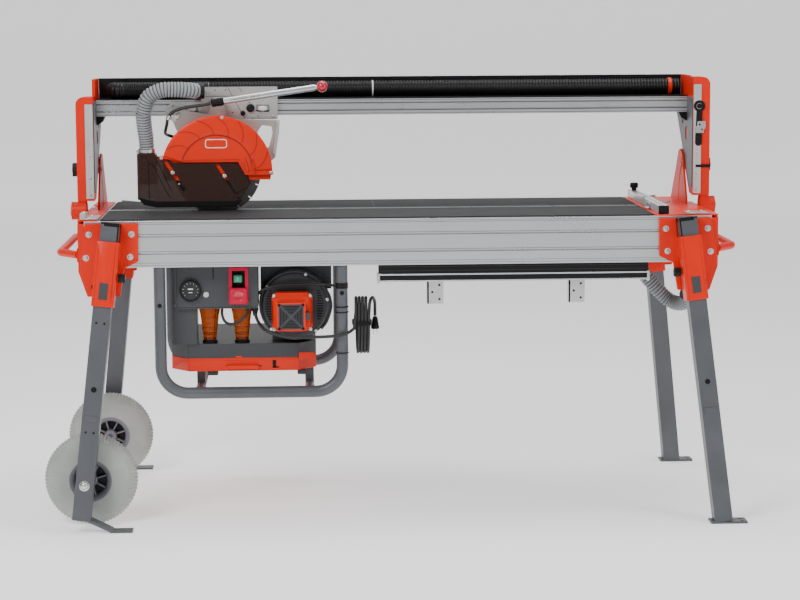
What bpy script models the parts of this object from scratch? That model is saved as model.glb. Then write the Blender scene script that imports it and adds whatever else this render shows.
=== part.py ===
"""Bridge tile saw with a sliding, plunging head and an on-board dust extractor.

Metres, +Z up. Origin on the floor under the middle of the table, +X along the
table, -Y towards the person who uses it.
"""
import math

import bmesh
import bpy
from mathutils import Matrix, Vector

# The wheels reach further left than the feet reach right
FRAME_SHIFT = 0.0178
# Table
TABLE_TOP = 0.852
DECK_TOP = 0.848
BEAM_END = 0.875
HALF_DEPTH = 0.305
BEAM_BOTTOM = 0.718
BEAM_WALL = 0.036
SLOT_HALF = 0.013
SLOT_WALL = 0.0023
MAT_LEFT = -0.830
MAT_RIGHT = 0.712
# Legs
LEG_TOP = Vector((0.797, 0.337, 0.847))
LEG_FOOT = Vector((0.892, 0.430, 0.0))
LEG_HALF = 0.025
SOCKET_BOTTOM = 0.618
WHEEL_RADIUS = 0.130
WHEEL_X = 0.868
WHEEL_Y = 0.327
LEG_TRAVEL = 0.24
# Bridge, which tilts back about the line through the blade's foot
TILT_AXIS = Vector((0.0, 0.0, TABLE_TOP))
RAIL_FRONT = 0.062
RAIL_BACK = 0.112
RAIL_BOTTOM = 1.121
RAIL_TOP = 1.167
RAIL_END = 0.868
TRAY_TOP = 1.229
BOLT_CIRCLE = 0.154
BOLT_ANGLE = math.radians(43.5)
# Head
BLADE_CENTRE = Vector((-0.515, 0.0, 0.966))
BLADE_RADIUS = 0.127
GUARD_RADIUS = 0.160
GUARD_FRONT = -0.045
GUARD_BACK = 0.024
PLUNGE_AXIS = Vector((-0.632, 0.0, 1.125))
SHROUD_SLIDE = Vector((-0.542, 0.0, 0.840))
# Extractor under the table
LOOP_LEFT = -0.671
LOOP_RIGHT = -0.163
LOOP_BOTTOM = 0.360
LOOP_Y = 0.283
TUBE_RADIUS = 0.0165
LEAD_RADIUS = 0.0045
HANK_MIDDLE = (-0.262, 0.545)
HANK_SPAN = (-0.130, -0.084)
HANK_HALF_RUN = 0.050
HANK_BEND = 0.032
GAP = 0.0003

ORANGE = ("orange", (0.80, 0.045, 0.006), 0.35, 0.0)
SLATE = ("slate", (0.13, 0.14, 0.155), 0.5, 0.1)
ALUMINIUM = ("aluminium", (0.72, 0.73, 0.74), 0.35, 0.9)
ZINC = ("zinc", (0.65, 0.66, 0.66), 0.35, 0.9)
BLACK = ("black", (0.02, 0.02, 0.022), 0.5, 0.0)
MAT = ("mat", (0.04, 0.042, 0.046), 0.8, 0.0)
RUBBER = ("tyre", (0.42, 0.44, 0.42), 0.8, 0.0)
RIM = ("rim", (0.16, 0.17, 0.18), 0.5, 0.0)
CRIMSON = ("crimson", (0.55, 0.005, 0.06), 0.35, 0.0)
GREEN = ("green", (0.02, 0.35, 0.15), 0.4, 0.0)
AMBER = ("amber", (0.35, 0.08, 0.008), 0.15, 0.0)
SMOKE = ("smoke", (0.05, 0.035, 0.03), 0.15, 0.0)
HOSE = ("hose", (0.50, 0.51, 0.52), 0.6, 0.0)
STEEL = ("steel", (0.5, 0.5, 0.5), 0.3, 1.0)
RED = ("red", (0.5, 0.01, 0.02), 0.25, 0.0)

for old in list(bpy.data.objects):
    bpy.data.objects.remove(old, do_unlink=True)

PARTS = bpy.data.collections.new("tile_saw")
CUTTERS = bpy.data.collections.new("cutters")
bpy.context.scene.collection.children.link(PARTS)
bpy.context.scene.collection.children.link(CUTTERS)


def material(finish):
    """One Principled material for each finish."""
    name, colour, roughness, metallic = finish
    found = bpy.data.materials.get(name)
    if found:
        return found
    made = bpy.data.materials.new(name)
    made.use_nodes = True
    shader = made.node_tree.nodes["Principled BSDF"]
    shader.inputs["Base Color"].default_value = (*colour, 1.0)
    shader.inputs["Roughness"].default_value = roughness
    shader.inputs["Metallic"].default_value = metallic
    return made


def add(name, data, finish):
    """Put a piece in the scene; with no finish it is a tool for a Boolean."""
    piece = bpy.data.objects.new(name, data)
    if finish:
        PARTS.objects.link(piece)
        data.materials.append(material(finish))
    else:
        CUTTERS.objects.link(piece)
        piece.hide_render = True
        piece.display_type = "WIRE"
    return piece


def mesh_from(shape, name):
    shape.normal_update()
    data = bpy.data.meshes.new(name)
    shape.to_mesh(data)
    shape.free()
    return data


def box(name, low, high, finish=None, bevel=0.0):
    """An upright box between two corners."""
    shape = bmesh.new()
    size = [b - a for a, b in zip(low, high)]
    middle = [(a + b) / 2 for a, b in zip(low, high)]
    move = Matrix.Translation(middle) @ Matrix.Diagonal((*size, 1.0))
    bmesh.ops.create_cube(shape, size=1.0, matrix=move)
    piece = add(name, mesh_from(shape, name), finish)
    if bevel:
        edge = piece.modifiers.new("round", "BEVEL")
        edge.width = bevel
        edge.segments = 1
    return piece


def along(start, end):
    """A matrix at the middle of start-end whose Z points to end."""
    start, end = Vector(start), Vector(end)
    turn = (end - start).to_track_quat("Z", "Y").to_matrix().to_4x4()
    return Matrix.Translation((start + end) / 2) @ turn


def rod(name, start, end, radius, finish=None, sides=16, radius_end=None):
    """A round bar or cone between two points."""
    shape = bmesh.new()
    length = (Vector(end) - Vector(start)).length
    bmesh.ops.create_cone(
        shape, cap_ends=True, segments=sides, radius1=radius,
        radius2=radius if radius_end is None else radius_end,
        depth=length, matrix=along(start, end))
    data = mesh_from(shape, name)
    data.shade_smooth()
    data.set_sharp_from_angle(angle=math.radians(40))
    return add(name, data, finish)


def bar(name, start, end, half_x, half_y, finish=None):
    """A square bar along start-end, with its sides kept near X and Y."""
    axis = (Vector(end) - Vector(start)).normalized()
    side = Vector((0, 1, 0)).cross(axis).normalized()
    depth = axis.cross(side)
    turn = Matrix((side, depth, axis)).transposed().to_4x4()
    length = (Vector(end) - Vector(start)).length
    place = Matrix.Translation((Vector(start) + Vector(end)) / 2) @ turn
    shape = bmesh.new()
    bmesh.ops.create_cube(
        shape, size=1.0,
        matrix=place @ Matrix.Diagonal((2 * half_x, 2 * half_y, length, 1.0)))
    return add(name, mesh_from(shape, name), finish)


def frame_of(normal):
    """Local X, Y of an outline drawn on a plane across X, Y or Z."""
    return {
        "X": Matrix(((0, 0, 1), (1, 0, 0), (0, 1, 0))),
        "Y": Matrix(((1, 0, 0), (0, 0, -1), (0, 1, 0))),
        "Z": Matrix(((1, 0, 0), (0, 1, 0), (0, 0, 1))),
    }[normal]


def plate(name, normal, low, high, outline, finish=None, holes=()):
    """A flat piece from low to high along one axis, with round or shaped holes."""
    curve = bpy.data.curves.new(name, "CURVE")
    curve.dimensions = "2D"
    curve.fill_mode = "BOTH"
    curve.extrude = (high - low) / 2
    for ring in [outline, *holes]:
        spline = curve.splines.new("POLY")
        spline.points.add(len(ring) - 1)
        for point, (u, v) in zip(spline.points, ring):
            point.co = (u, v, 0.0, 1.0)
        spline.use_cyclic_u = True
    turn = frame_of(normal).to_4x4()
    axis = Vector([row[2] for row in frame_of(normal)])
    sign = 1 if sum(axis) > 0 else -1
    shift = Matrix.Translation(axis * sign * (low + high) / 2)
    return solid_from_curve(name, curve, shift @ turn, finish)


def solid_from_curve(name, curve, place, finish):
    """Turn a curve into a welded mesh piece."""
    drawn = bpy.data.objects.new(name + "_curve", curve)
    PARTS.objects.link(drawn)
    bpy.context.view_layer.update()
    seen = drawn.evaluated_get(bpy.context.evaluated_depsgraph_get())
    data = bpy.data.meshes.new_from_object(seen)
    bpy.data.objects.remove(drawn, do_unlink=True)
    shape = bmesh.new()
    shape.from_mesh(data)
    bmesh.ops.remove_doubles(shape, verts=shape.verts, dist=0.00002)
    bmesh.ops.transform(shape, matrix=place, verts=shape.verts)
    bmesh.ops.recalc_face_normals(shape, faces=shape.faces)
    data.materials.clear()
    shape.normal_update()
    shape.to_mesh(data)
    shape.free()
    return add(name, data, finish)


def ring(centre, radius, sides=16, first=0.0, last=360.0):
    """Points round a circle or an arc of it, in degrees."""
    steps = sides if last - first >= 360.0 else sides + 1
    turn = math.radians(last - first) / sides
    return [(centre[0] + radius * math.cos(math.radians(first) + i * turn),
             centre[1] + radius * math.sin(math.radians(first) + i * turn))
            for i in range(steps)]


def rectangle(low, high):
    return [(low[0], low[1]), (high[0], low[1]), (high[0], high[1]), (low[0], high[1])]


def slot_outline(start, end, radius, sides=6):
    """A straight slot with round ends."""
    angle = math.degrees(math.atan2(end[1] - start[1], end[0] - start[0]))
    return (ring(end, radius, sides, angle - 90, angle + 90)
            + ring(start, radius, sides, angle + 90, angle + 270))


def bent_route(points, radius, steps=5):
    """A route whose corners are rounded with one radius."""
    points = [Vector(p) for p in points]
    route = [points[0]]
    for before, corner, after in zip(points, points[1:], points[2:]):
        u = (before - corner).normalized()
        v = (after - corner).normalized()
        half = u.angle(v) / 2
        reach = radius / math.tan(half)
        centre = corner + (u + v).normalized() * radius / math.sin(half)
        a = corner + u * reach - centre
        b = corner + v * reach - centre
        sweep = a.angle(b)
        for i in range(steps + 1):
            t = i / steps
            mix = (a * math.sin((1 - t) * sweep) + b * math.sin(t * sweep)) / math.sin(sweep)
            route.append(centre + mix)
    route.append(points[-1])
    return route


def smooth_route(points, spacing):
    """Evenly spaced points on a smooth curve through the given points."""
    points = [Vector(p) for p in points]
    ends = [2 * points[0] - points[1], *points, 2 * points[-1] - points[-2]]
    fine = []
    for a, b, c, d in zip(ends, ends[1:], ends[2:], ends[3:]):
        for i in range(24):
            t = i / 24
            fine.append(0.5 * (2 * b + (c - a) * t + (2 * a - 5 * b + 4 * c - d) * t * t
                               + (3 * b - a - 3 * c + d) * t ** 3))
    fine.append(points[-1])
    total = sum((b - a).length for a, b in zip(fine, fine[1:]))
    count = max(2, round(total / spacing))
    route, walked, target = [fine[0]], 0.0, total / count
    for a, b in zip(fine, fine[1:]):
        step = (b - a).length
        while walked + step >= target and len(route) < count:
            route.append(a.lerp(b, (target - walked) / step))
            target += total / count
        walked += step
    route.append(fine[-1])
    return route


def tube(name, points, radius, finish=None, resolution=2, closed=False):
    """A round tube through the points."""
    curve = bpy.data.curves.new(name, "CURVE")
    curve.dimensions = "3D"
    curve.bevel_depth = radius
    curve.bevel_resolution = resolution
    curve.use_fill_caps = not closed
    spline = curve.splines.new("POLY")
    spline.points.add(len(points) - 1)
    for point, place in zip(spline.points, points):
        point.co = (*place, 1.0)
    spline.use_cyclic_u = closed
    return solid_from_curve(name, curve, Matrix.Identity(4), finish)


def turned(name, profile, base, axis, finish=None, steps=24):
    """A lathe piece: (radius, height) pairs run round the axis from base."""
    data = bpy.data.meshes.new(name)
    shape = bmesh.new()
    corners = [shape.verts.new((r, 0, h)) for r, h in profile]
    for a, b in zip(corners, corners[1:]):
        shape.edges.new((a, b))
    if profile[0][0] > 0:
        shape.edges.new((corners[-1], corners[0]))
    shape.to_mesh(data)
    shape.free()
    piece = add(name, data, finish)
    piece.rotation_euler = Vector(axis).to_track_quat("Z", "Y").to_euler()
    piece.location = base
    screw = piece.modifiers.new("turn", "SCREW")
    screw.steps = steps
    screw.render_steps = steps
    screw.use_merge_vertices = True
    screw.merge_threshold = 0.0001
    screw.use_smooth_shade = True
    return piece


def join(piece, *tools, solver="EXACT"):
    """Unite overlapping pieces into one closed body."""
    for tool in tools:
        step = piece.modifiers.new("join", "BOOLEAN")
        step.operation = "UNION"
        step.solver = solver
        step.object = tool


def cut(piece, *tools):
    for tool in tools:
        step = piece.modifiers.new("cut", "BOOLEAN")
        step.operation = "DIFFERENCE"
        step.object = tool


def pivot(name, place, parent=None):
    """An empty on a joint's axis, which its moving pieces hang from."""
    empty = bpy.data.objects.new(name, None)
    empty.location = place
    PARTS.objects.link(empty)
    if parent:
        hang(empty, parent)
    return empty


def hang(piece, parent):
    bpy.context.view_layer.update()
    piece.parent = parent
    piece.matrix_parent_inverse = parent.matrix_world.inverted()


def hang_all(parent, *pieces):
    for piece in pieces:
        hang(piece, parent)


# ---------------------------------------------------------------- table
def beam(name, side):
    """A table side rail: lips at top and bottom and two grooves outside."""
    outer, inner = side * HALF_DEPTH, side * (HALF_DEPTH - BEAM_WALL)
    groove = side * 0.003
    outline = [(inner, BEAM_BOTTOM), (outer, BEAM_BOTTOM)]
    for height in (0.756, 0.804):
        outline += [(outer, height), (outer - groove, height + 0.001),
                    (outer - groove, height + 0.005), (outer, height + 0.006)]
    outline += [(outer, DECK_TOP), (inner, DECK_TOP)]
    return plate(name, "X", -BEAM_END, BEAM_END, outline, ALUMINIUM)


def deck():
    """The sheet under the mats, with the blade's slot and its channel."""
    y = HALF_DEPTH - BEAM_WALL - GAP
    half = SLOT_HALF - SLOT_WALL
    outline = [(-y, 0.840), (-SLOT_HALF, 0.840), (-SLOT_HALF, 0.815),
               (SLOT_HALF, 0.815), (SLOT_HALF, 0.840), (y, 0.840),
               (y, DECK_TOP), (SLOT_HALF, DECK_TOP), (SLOT_HALF, TABLE_TOP),
               (half, TABLE_TOP), (half, 0.819), (-half, 0.819), (-half, TABLE_TOP),
               (-SLOT_HALF, TABLE_TOP), (-SLOT_HALF, DECK_TOP), (-y, DECK_TOP)]
    sheet = plate("table_deck", "X", -0.853, 0.853, outline, ALUMINIUM)
    for side, inner in ((-1, MAT_LEFT), (1, MAT_RIGHT)):
        low, high = sorted((inner, side * 0.90))
        cut(sheet, box(f"deck_trim{side}", (low, -0.05, DECK_TOP - GAP), (high, 0.05, 0.86)))
    return sheet


def mat(name, side):
    near, far = SLOT_HALF + GAP, 0.299
    low, high = sorted((side * near, side * far))
    box(name, (MAT_LEFT, low, DECK_TOP + GAP), (MAT_RIGHT, high, TABLE_TOP), MAT)


def quadrant(name, x):
    """The tilt guide at one end: a fin with an arc slot round the tilt axis."""
    z = TABLE_TOP
    outline = [(0.030, z - 0.016), (0.262, z - 0.016), (0.262, z - 0.003), (0.290, z - 0.003),
               (0.290, z + 0.004), (0.200, z + 0.105),
               (0.165, z + 0.150), (0.135, z + 0.157), (0.100, z + 0.143), (0.078, z + 0.096),
               (0.034, z + 0.02)]
    radius = 0.0055
    first, last = 90 - math.degrees(BOLT_ANGLE) + 2.6, -1.6
    centre = (0.0, z)
    arc = (ring(centre, BOLT_CIRCLE + radius, 8, last, first)
           + list(reversed(ring(centre, BOLT_CIRCLE - radius, 8, last, first))))
    low, high = sorted((x * 0.860, x * 0.866))
    return plate(name, "X", low, high, outline, None, [arc])


def end_plate(name, x, top_inner):
    """An end casting with its top flange and tilt quadrant."""
    low, high = sorted((x * (BEAM_END + GAP), x * 0.893))
    outline = [(-HALF_DEPTH, 0.705), (HALF_DEPTH, 0.705), (HALF_DEPTH, 0.842), (0.170, 0.842),
               (0.170, 0.834), (0.138, 0.834), (0.138, 0.842), (-HALF_DEPTH, 0.842)]
    casting = plate(name, "X", low, high, outline, ORANGE)
    low, high = sorted((x * 0.893, x * top_inner))
    if x > 0:
        flange = [(low, -HALF_DEPTH), (high, -HALF_DEPTH), (high, 0.120), (0.8675, 0.120),
                  (0.8675, 0.180), (high, 0.180), (high, HALF_DEPTH), (low, HALF_DEPTH)]
    else:
        flange = [(low, -HALF_DEPTH), (high, -HALF_DEPTH), (high, HALF_DEPTH), (low, HALF_DEPTH),
                  (low, 0.180), (-0.8675, 0.180), (-0.8675, 0.120), (low, 0.120)]
    top = plate(name + "_top", "Z", DECK_TOP + GAP, DECK_TOP + 0.0035, flange)
    web = box(name + "_web", (min(x * 0.884, x * 0.893), -0.295, 0.835),
              (max(x * 0.884, x * 0.893), -0.045, DECK_TOP + 0.002))
    join(casting, top, web, quadrant(name + "_quadrant", x))
    return casting


def leg_line(x, y, height):
    """The centre of the leg in corner (x, y) at a height."""
    top = Vector((x * LEG_TOP.x, y * LEG_TOP.y, LEG_TOP.z))
    foot = Vector((x * LEG_FOOT.x, y * LEG_FOOT.y, LEG_FOOT.z))
    return foot.lerp(top, height / LEG_TOP.z)


def leg_socket(name, x, y):
    """A bolted corner plate with a channel that the leg slides in."""
    low, high = sorted((y * (HALF_DEPTH + GAP), y * (HALF_DEPTH + 0.013)))
    outline = [(x * 0.725, 0.842), (x * 0.727, 0.736), (x * 0.765, 0.718), (x * 0.778, 0.640),
               (x * 0.868, 0.640), (x * 0.890, 0.705), (x * 0.872, 0.842)]
    base = plate(name, "Y", low, high, outline, ORANGE)
    wall = 0.004
    top, bottom = leg_line(x, y, 0.795), leg_line(x, y, SOCKET_BOTTOM)
    outside = LEG_HALF + 0.0015 + wall
    sleeve = bar(name + "_sleeve", bottom, top, outside, outside)
    bore = bar(name + "_bore", leg_line(x, y, SOCKET_BOTTOM - 0.05), leg_line(x, y, 0.90),
               LEG_HALF + 0.0012, LEG_HALF + 0.0012)
    join(base, sleeve)
    cut(base, bore)
    return base


def end_handle(name, x):
    """A grab handle: a horizontal loop of tube at one end of the table."""
    route = bent_route([(x * (0.893 + GAP), -0.290, 0.754), (x * 0.951, -0.215, 0.754),
                        (x * 0.951, 0.215, 0.754), (x * (0.893 + GAP), 0.290, 0.754)], 0.05, 4)
    handle = tube(name, route, 0.011, ORANGE)
    low, high = sorted((x * (0.893 - 0.02), x * (0.893 + GAP)))
    trim = box(name + "_trim", (low, -0.33, 0.73), (high, 0.33, 0.78))
    cut(handle, trim)
    return handle


# ---------------------------------------------------------------- underframe
def loop_route(y):
    """A U loop of the cradle, hung under the table rail."""
    top = BEAM_BOTTOM - GAP
    return bent_route([(LOOP_LEFT, y, top), (LOOP_LEFT, y, LOOP_BOTTOM),
                       (LOOP_RIGHT, y, LOOP_BOTTOM), (LOOP_RIGHT, y, top)], 0.075, 5)


def underframe():
    """The tube cradle that carries the extractor."""
    frame = tube("underframe", loop_route(-LOOP_Y), TUBE_RADIUS, SLATE)
    far = tube("underframe_far", loop_route(LOOP_Y), TUBE_RADIUS)
    join(frame, far)
    for number, x in enumerate((-0.565, -0.255)):
        cross = rod(f"underframe_cross{number}", (x, -LOOP_Y, LOOP_BOTTOM),
                    (x, LOOP_Y, LOOP_BOTTOM), 0.013, sides=12)
        join(frame, cross)
        for end, y in enumerate((-0.14, 0.14)):
            post = rod(f"underframe_post{number}{end}", (x, y, LOOP_BOTTOM),
                       (x, y, 0.4097), 0.009, sides=8)
            join(frame, post)
    return frame


def control_box():
    """The sheet-metal switch box, a chute below it and a round meter."""
    case = box("control_box", (-0.631, -0.240, 0.592), (-0.398, -0.100, 0.7177), SLATE)
    chute = box("control_chute", (-0.640, -0.225, 0.4888), (-0.572, -0.130, 0.593))
    recess = box("control_recess", (-0.478, -0.245, 0.607), (-0.427, -0.222, 0.706))
    meter = rod("control_meter", (-0.587, -0.248, 0.645), (-0.587, -0.235, 0.645), 0.031)
    join(case, chute, meter)
    cut(case, recess)
    flap = box("stop_flap", (-0.4775, -0.262, 0.6075), (-0.4275, -0.241, 0.652), CRIMSON, 0.003)
    button = box("start_button", (-0.466, -0.252, 0.666), (-0.442, -0.2265, 0.688), GREEN, 0.002)
    hinge = pivot("stop_pivot", (-0.4525, -0.2415, 0.652))
    slide = pivot("start_pivot", (-0.454, -0.240, 0.677))
    hang(flap, hinge)
    hang(button, slide)


def cyclone(name, x):
    """A clear cone of the pre-separator, standing on the deck."""
    turned(name, [(0, 0.5917), (0.030, 0.5917), (0.030, 0.578), (0.0175, 0.4887), (0, 0.4887)],
           (x, -0.1825, 0), (0, 0, 1), AMBER, 20)


def extractor():
    """The dust tray, its deck and the blower with its motor."""
    left, right, near, far = -0.648, -0.236, -0.215, 0.200
    outline = [(left, near + 0.06), (left + 0.05, near), (right - 0.05, near),
               (right, near + 0.06), (right, far), (left, far)]
    lid = plate("cyclone_deck", "Z", 0.448, 0.4885, outline, SLATE)
    lid.location.z -= 0.0003
    tray = plate("dust_tray", "Z", 0.410, 0.4474, outline, ORANGE)
    hollow = box("tray_hollow", (left + 0.02, near + 0.065, 0.415), (right - 0.02, far - 0.02, 0.46))
    grip = box("tray_grip", (-0.49, near - 0.018, 0.418), (-0.40, near + 0.01, 0.428))
    join(tray, grip)
    cut(tray, hollow)
    slide = pivot("tray_slide", (-0.445, near, 0.428))
    hang(tray, slide)
    housing = turned("vacuum_housing", [(0, 0.0), (0.090, 0.0), (0.101, -0.012), (0.101, -0.115),
                                        (0.092, -0.125), (0, -0.125)],
                     (-0.296, -0.205, 0.5945), (0, -1, 0), SLATE, 32)
    foot = box("housing_foot", (-0.36, -0.17, 0.4885), (-0.245, -0.09, 0.53))
    hanger = box("housing_hanger", (-0.392, -0.155, 0.635), (-0.190, -0.085, BEAM_BOTTOM - GAP))
    join(housing, foot, hanger)
    motor = box("vacuum_motor", (-0.360, -0.262, 0.528), (-0.245, -0.2053, 0.636), ORANGE, 0.012)
    cap = box("motor_cap", (-0.346, -0.285, 0.532), (-0.265, -0.255, 0.613))
    join(motor, cap)
    return motor


def ducts():
    """The hose from the bridge's end down to the cyclone deck."""
    route = smooth_route([(0.700, 0.12, 0.690), (0.735, 0.115, 0.655), (0.790, 0.11, 0.590),
                          (0.835, 0.10, 0.552), (0.866, 0.06, 0.556), (0.872, 0.02, 0.60)], 0.03)
    return route


def side_table():
    """The slide-out side support stowed under the right half of the table."""
    top = box("side_table", (-0.060, -0.286, 0.690), (0.700, -0.262, 0.7165), BLACK)
    rail = box("side_table_rail", (-0.060, -0.2885, 0.668), (0.700, -0.262, 0.6905))
    shelf = box("side_table_shelf", (-0.030, -0.270, 0.700), (0.690, 0.200, 0.7165))
    join(top, rail, shelf)
    for number, x in enumerate((0.078, 0.478)):
        hanger = box(f"side_table_hanger{number}", (x, -0.262, 0.602), (x + 0.004, -0.232, 0.701))
        foot = box(f"side_table_foot{number}", (x, -0.262, 0.602), (x + 0.045, -0.258, 0.690))
        join(top, hanger, foot)
    hang(top, pivot("side_table_slide", (0.32, -0.27, 0.69)))


def mains():
    """The mains lead to its wrapped hank, and the plug hanging beside it."""
    route = smooth_route([(-0.4075, -0.2285, 0.5900), (-0.4070, -0.230, 0.578), (-0.3985, -0.252, 0.556),
                          (-0.372, -0.290, 0.533), (-0.320, -0.301, 0.520),
                          (-0.250, -0.304, 0.5175), (-0.190, -0.3085, 0.520),
                          (-0.150, -0.310, 0.528), (-0.1305, -0.300, 0.540)], 0.014)
    tube("mains_lead", route, LEAD_RADIUS, BLACK)
    upper = (HANK_MIDDLE[0], HANK_MIDDLE[1] + HANK_HALF_RUN)
    lower = (HANK_MIDDLE[0], HANK_MIDDLE[1] - HANK_HALF_RUN)
    outline = ring(upper, HANK_BEND, 10, 0, 180) + ring(lower, HANK_BEND, 10, 180, 360)
    plate("mains_hank", "X", *HANK_SPAN, outline, BLACK)
    rod("mains_plug", (-0.069, -0.238, 0.515), (-0.069, -0.238, 0.565), 0.012, BLACK, 12)


# ---------------------------------------------------------------- legs
def leg(name, x, y):
    """A square leg; the left ones end in a fork with a flat foot."""
    top = leg_line(x, y, LEG_TOP.z)
    stop = 0.034 if x < 0 else 0.004
    foot = leg_line(x, y, stop)
    post = bar(name, foot, top, LEG_HALF, LEG_HALF, SLATE)
    level = box(name + "_level", (-2, -2, LEG_TOP.z), (2, 2, 1))
    under = box(name + "_under", (-2, -2, -0.2), (2, 2, stop))
    cut(post, level, under)
    if x > 0:
        sole = box(name + "_sole", (foot.x - 0.036, foot.y - 0.026, 0.0),
                   (foot.x + 0.066, foot.y + 0.026, 0.006))
        join(post, sole)
    else:
        low = leg_line(x, y, 0.034)
        strap = bar(name + "_strap", (low.x + 0.012, low.y, 0.040),
                    (low.x + 0.085, low.y, 0.004), 0.004, 0.022)
        sole = box(name + "_sole", (low.x + 0.078, low.y - 0.022, 0.0),
                   (low.x + 0.140, low.y + 0.022, 0.005))
        hub = Vector((-WHEEL_X, y * WHEEL_Y, WHEEL_RADIUS))
        outer = leg_line(x, y, WHEEL_RADIUS)
        axle = rod(name + "_axle", hub + Vector((0, -y * 0.030, 0)),
                   (hub.x, outer.y, hub.z), 0.006, sides=12)
        join(post, strap, sole, axle)
    return post


def wheel(name, y):
    """A foam-filled wheel: ribbed tyre and spoked rim in one turned body."""
    base = Vector((-WHEEL_X, y * WHEEL_Y, WHEEL_RADIUS))
    profile = [(0.0066, 0.030), (0.020, 0.030), (0.022, 0.010), (0.056, 0.010), (0.064, 0.026),
               (0.090, 0.036), (0.112, 0.032), (0.125, 0.020), (0.1297, 0.0), (0.125, -0.020),
               (0.112, -0.032), (0.090, -0.036), (0.064, -0.026), (0.056, -0.010),
               (0.022, -0.010), (0.020, -0.030), (0.0066, -0.030)]
    body = turned(name, profile, base, (0, 1, 0), RUBBER, 32)
    return body


# ---------------------------------------------------------------- bridge
def bolt_centre():
    return (BOLT_CIRCLE * math.sin(BOLT_ANGLE), TABLE_TOP + BOLT_CIRCLE * math.cos(BOLT_ANGLE))


def upright(name, x, top):
    """A bridge end: post, pivot barrel and the fin that carries the rail."""
    z = TABLE_TOP
    low, high = sorted((x * 0.8685, x * 0.878))
    bolt = bolt_centre()
    lobe = ring(bolt, 0.011, 6, -100, 40)
    outline = [(-0.030, z + 0.030), (0.026, z + 0.034), (0.088, z + 0.096), *lobe,
               (0.160, z + 0.175), (0.250, z + 0.262), (0.250, z + 0.275), (0.1835, z + 0.330),
               (0.1835, TRAY_TOP), (0.060, TRAY_TOP), (0.050, top), (-0.030, top)]
    if top < TRAY_TOP:
        outline = outline[:-2] + [(0.060, top), (-0.030, top)]
    fin = plate(name, "X", low, high, outline, ORANGE, [ring(bolt, 0.0045, 10)])
    inner, outer = sorted((x * 0.877, x * 0.918))
    post = plate(name + "_post", "X", inner, outer, [(-0.030, z + 0.030), (0.023, z + 0.030),
                                                     (0.045, z + 0.051), (0.045, top), (-0.030, top)])
    low, high = sorted((x * (0.893 + GAP), x * 0.938))
    barrel = rod(name + "_barrel", (low, 0, z), (high, 0, z), 0.026, sides=24)
    inner, outer = sorted((x * 0.8945, x * 0.9182))
    root = box(name + "_root", (inner, -0.022, z + 0.010), (outer, 0.022, z + 0.20))
    join(fin, post, root, barrel)
    edge, reach = x * 0.918, 0.022
    curve = [(x * px, pz) for px, pz in ring((0.918 - reach, top - reach), reach, 6, 0, 90)]
    corner = [(edge + x * 0.02, top - reach), *curve, (edge - x * reach, top + 0.01),
              (edge + x * 0.02, top + 0.01)]
    cut(fin, plate(name + "_corner", "Y", -0.06, 0.06, corner))
    return fin


def tilt_knob(name, x):
    """A knob whose bolt clamps the bridge to its quadrant."""
    y, z = bolt_centre()
    grip = rod(name, (x * 0.921, y, z), (x * 0.944, y, z), 0.022, BLACK, 12)
    bolt = rod(name + "_bolt", (x * 0.856, y, z), (x * 0.93, y, z), 0.004, sides=10)
    join(grip, bolt)
    return grip


def rail():
    """The extruded rail that the carriage rolls on."""
    front, back = RAIL_FRONT, RAIL_BACK
    low, high = RAIL_BOTTOM, RAIL_TOP
    outline = [(front, low), (back, low), (back, high), (front, high),
               (front, high - 0.012), (front + 0.005, high - 0.014),
               (front + 0.005, low + 0.014), (front, low + 0.012)]
    return plate("bridge_beam", "X", -RAIL_END, RAIL_END, outline, ALUMINIUM)


def tray():
    """The open channel above the rail that the hose lies in."""
    low = RAIL_TOP + GAP
    outline = [(0.064, low), (0.182, low), (0.182, TRAY_TOP), (0.179, TRAY_TOP),
               (0.179, low + 0.003), (0.064, low + 0.003)]
    return plate("hose_tray", "X", -RAIL_END, RAIL_END, outline, BLACK)


def bridge_hoses():
    """The fixed run at the back of the tray with its bend, and the stretching run."""
    z = 1.1945
    near, far, bend = 0.0915, 0.1520, -0.790
    fixed = [(0.855, far, z), (0.40, far, z), (0.0, far, z), (-0.40, far, z)]
    middle, radius = (near + far) / 2, (far - near) / 2
    fixed += [(bend - radius * math.sin(math.radians(a)),
               middle + radius * math.cos(math.radians(a)), z) for a in range(0, 181, 20)]
    fixed.append((bend + 0.006, near, z))
    tube("bridge_duct_hose", fixed, 0.0235, BLACK, 2)
    tube("stretch_hose", [(bend + 0.006 + GAP, near, z), (-0.69, near, z), (-0.600, near, z)],
         0.0235, BLACK, 2)


def wrench():
    """The blade spanner kept on the right post."""
    top, bottom = (0.886, 1.142), (0.884, 1.036)
    outline = (ring(top, 0.017, 12, -60, 240) + ring(bottom, 0.010, 8, 180, 360))
    return plate("blade_wrench", "Y", -0.0345, -0.030 - GAP, outline, BLACK, [ring(top, 0.009, 12)])


# ---------------------------------------------------------------- carriage
ROLLERS = (-0.5900, -0.3825)
ROLLER_Y = 0.0475
ROLLER_Z = 1.142


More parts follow.
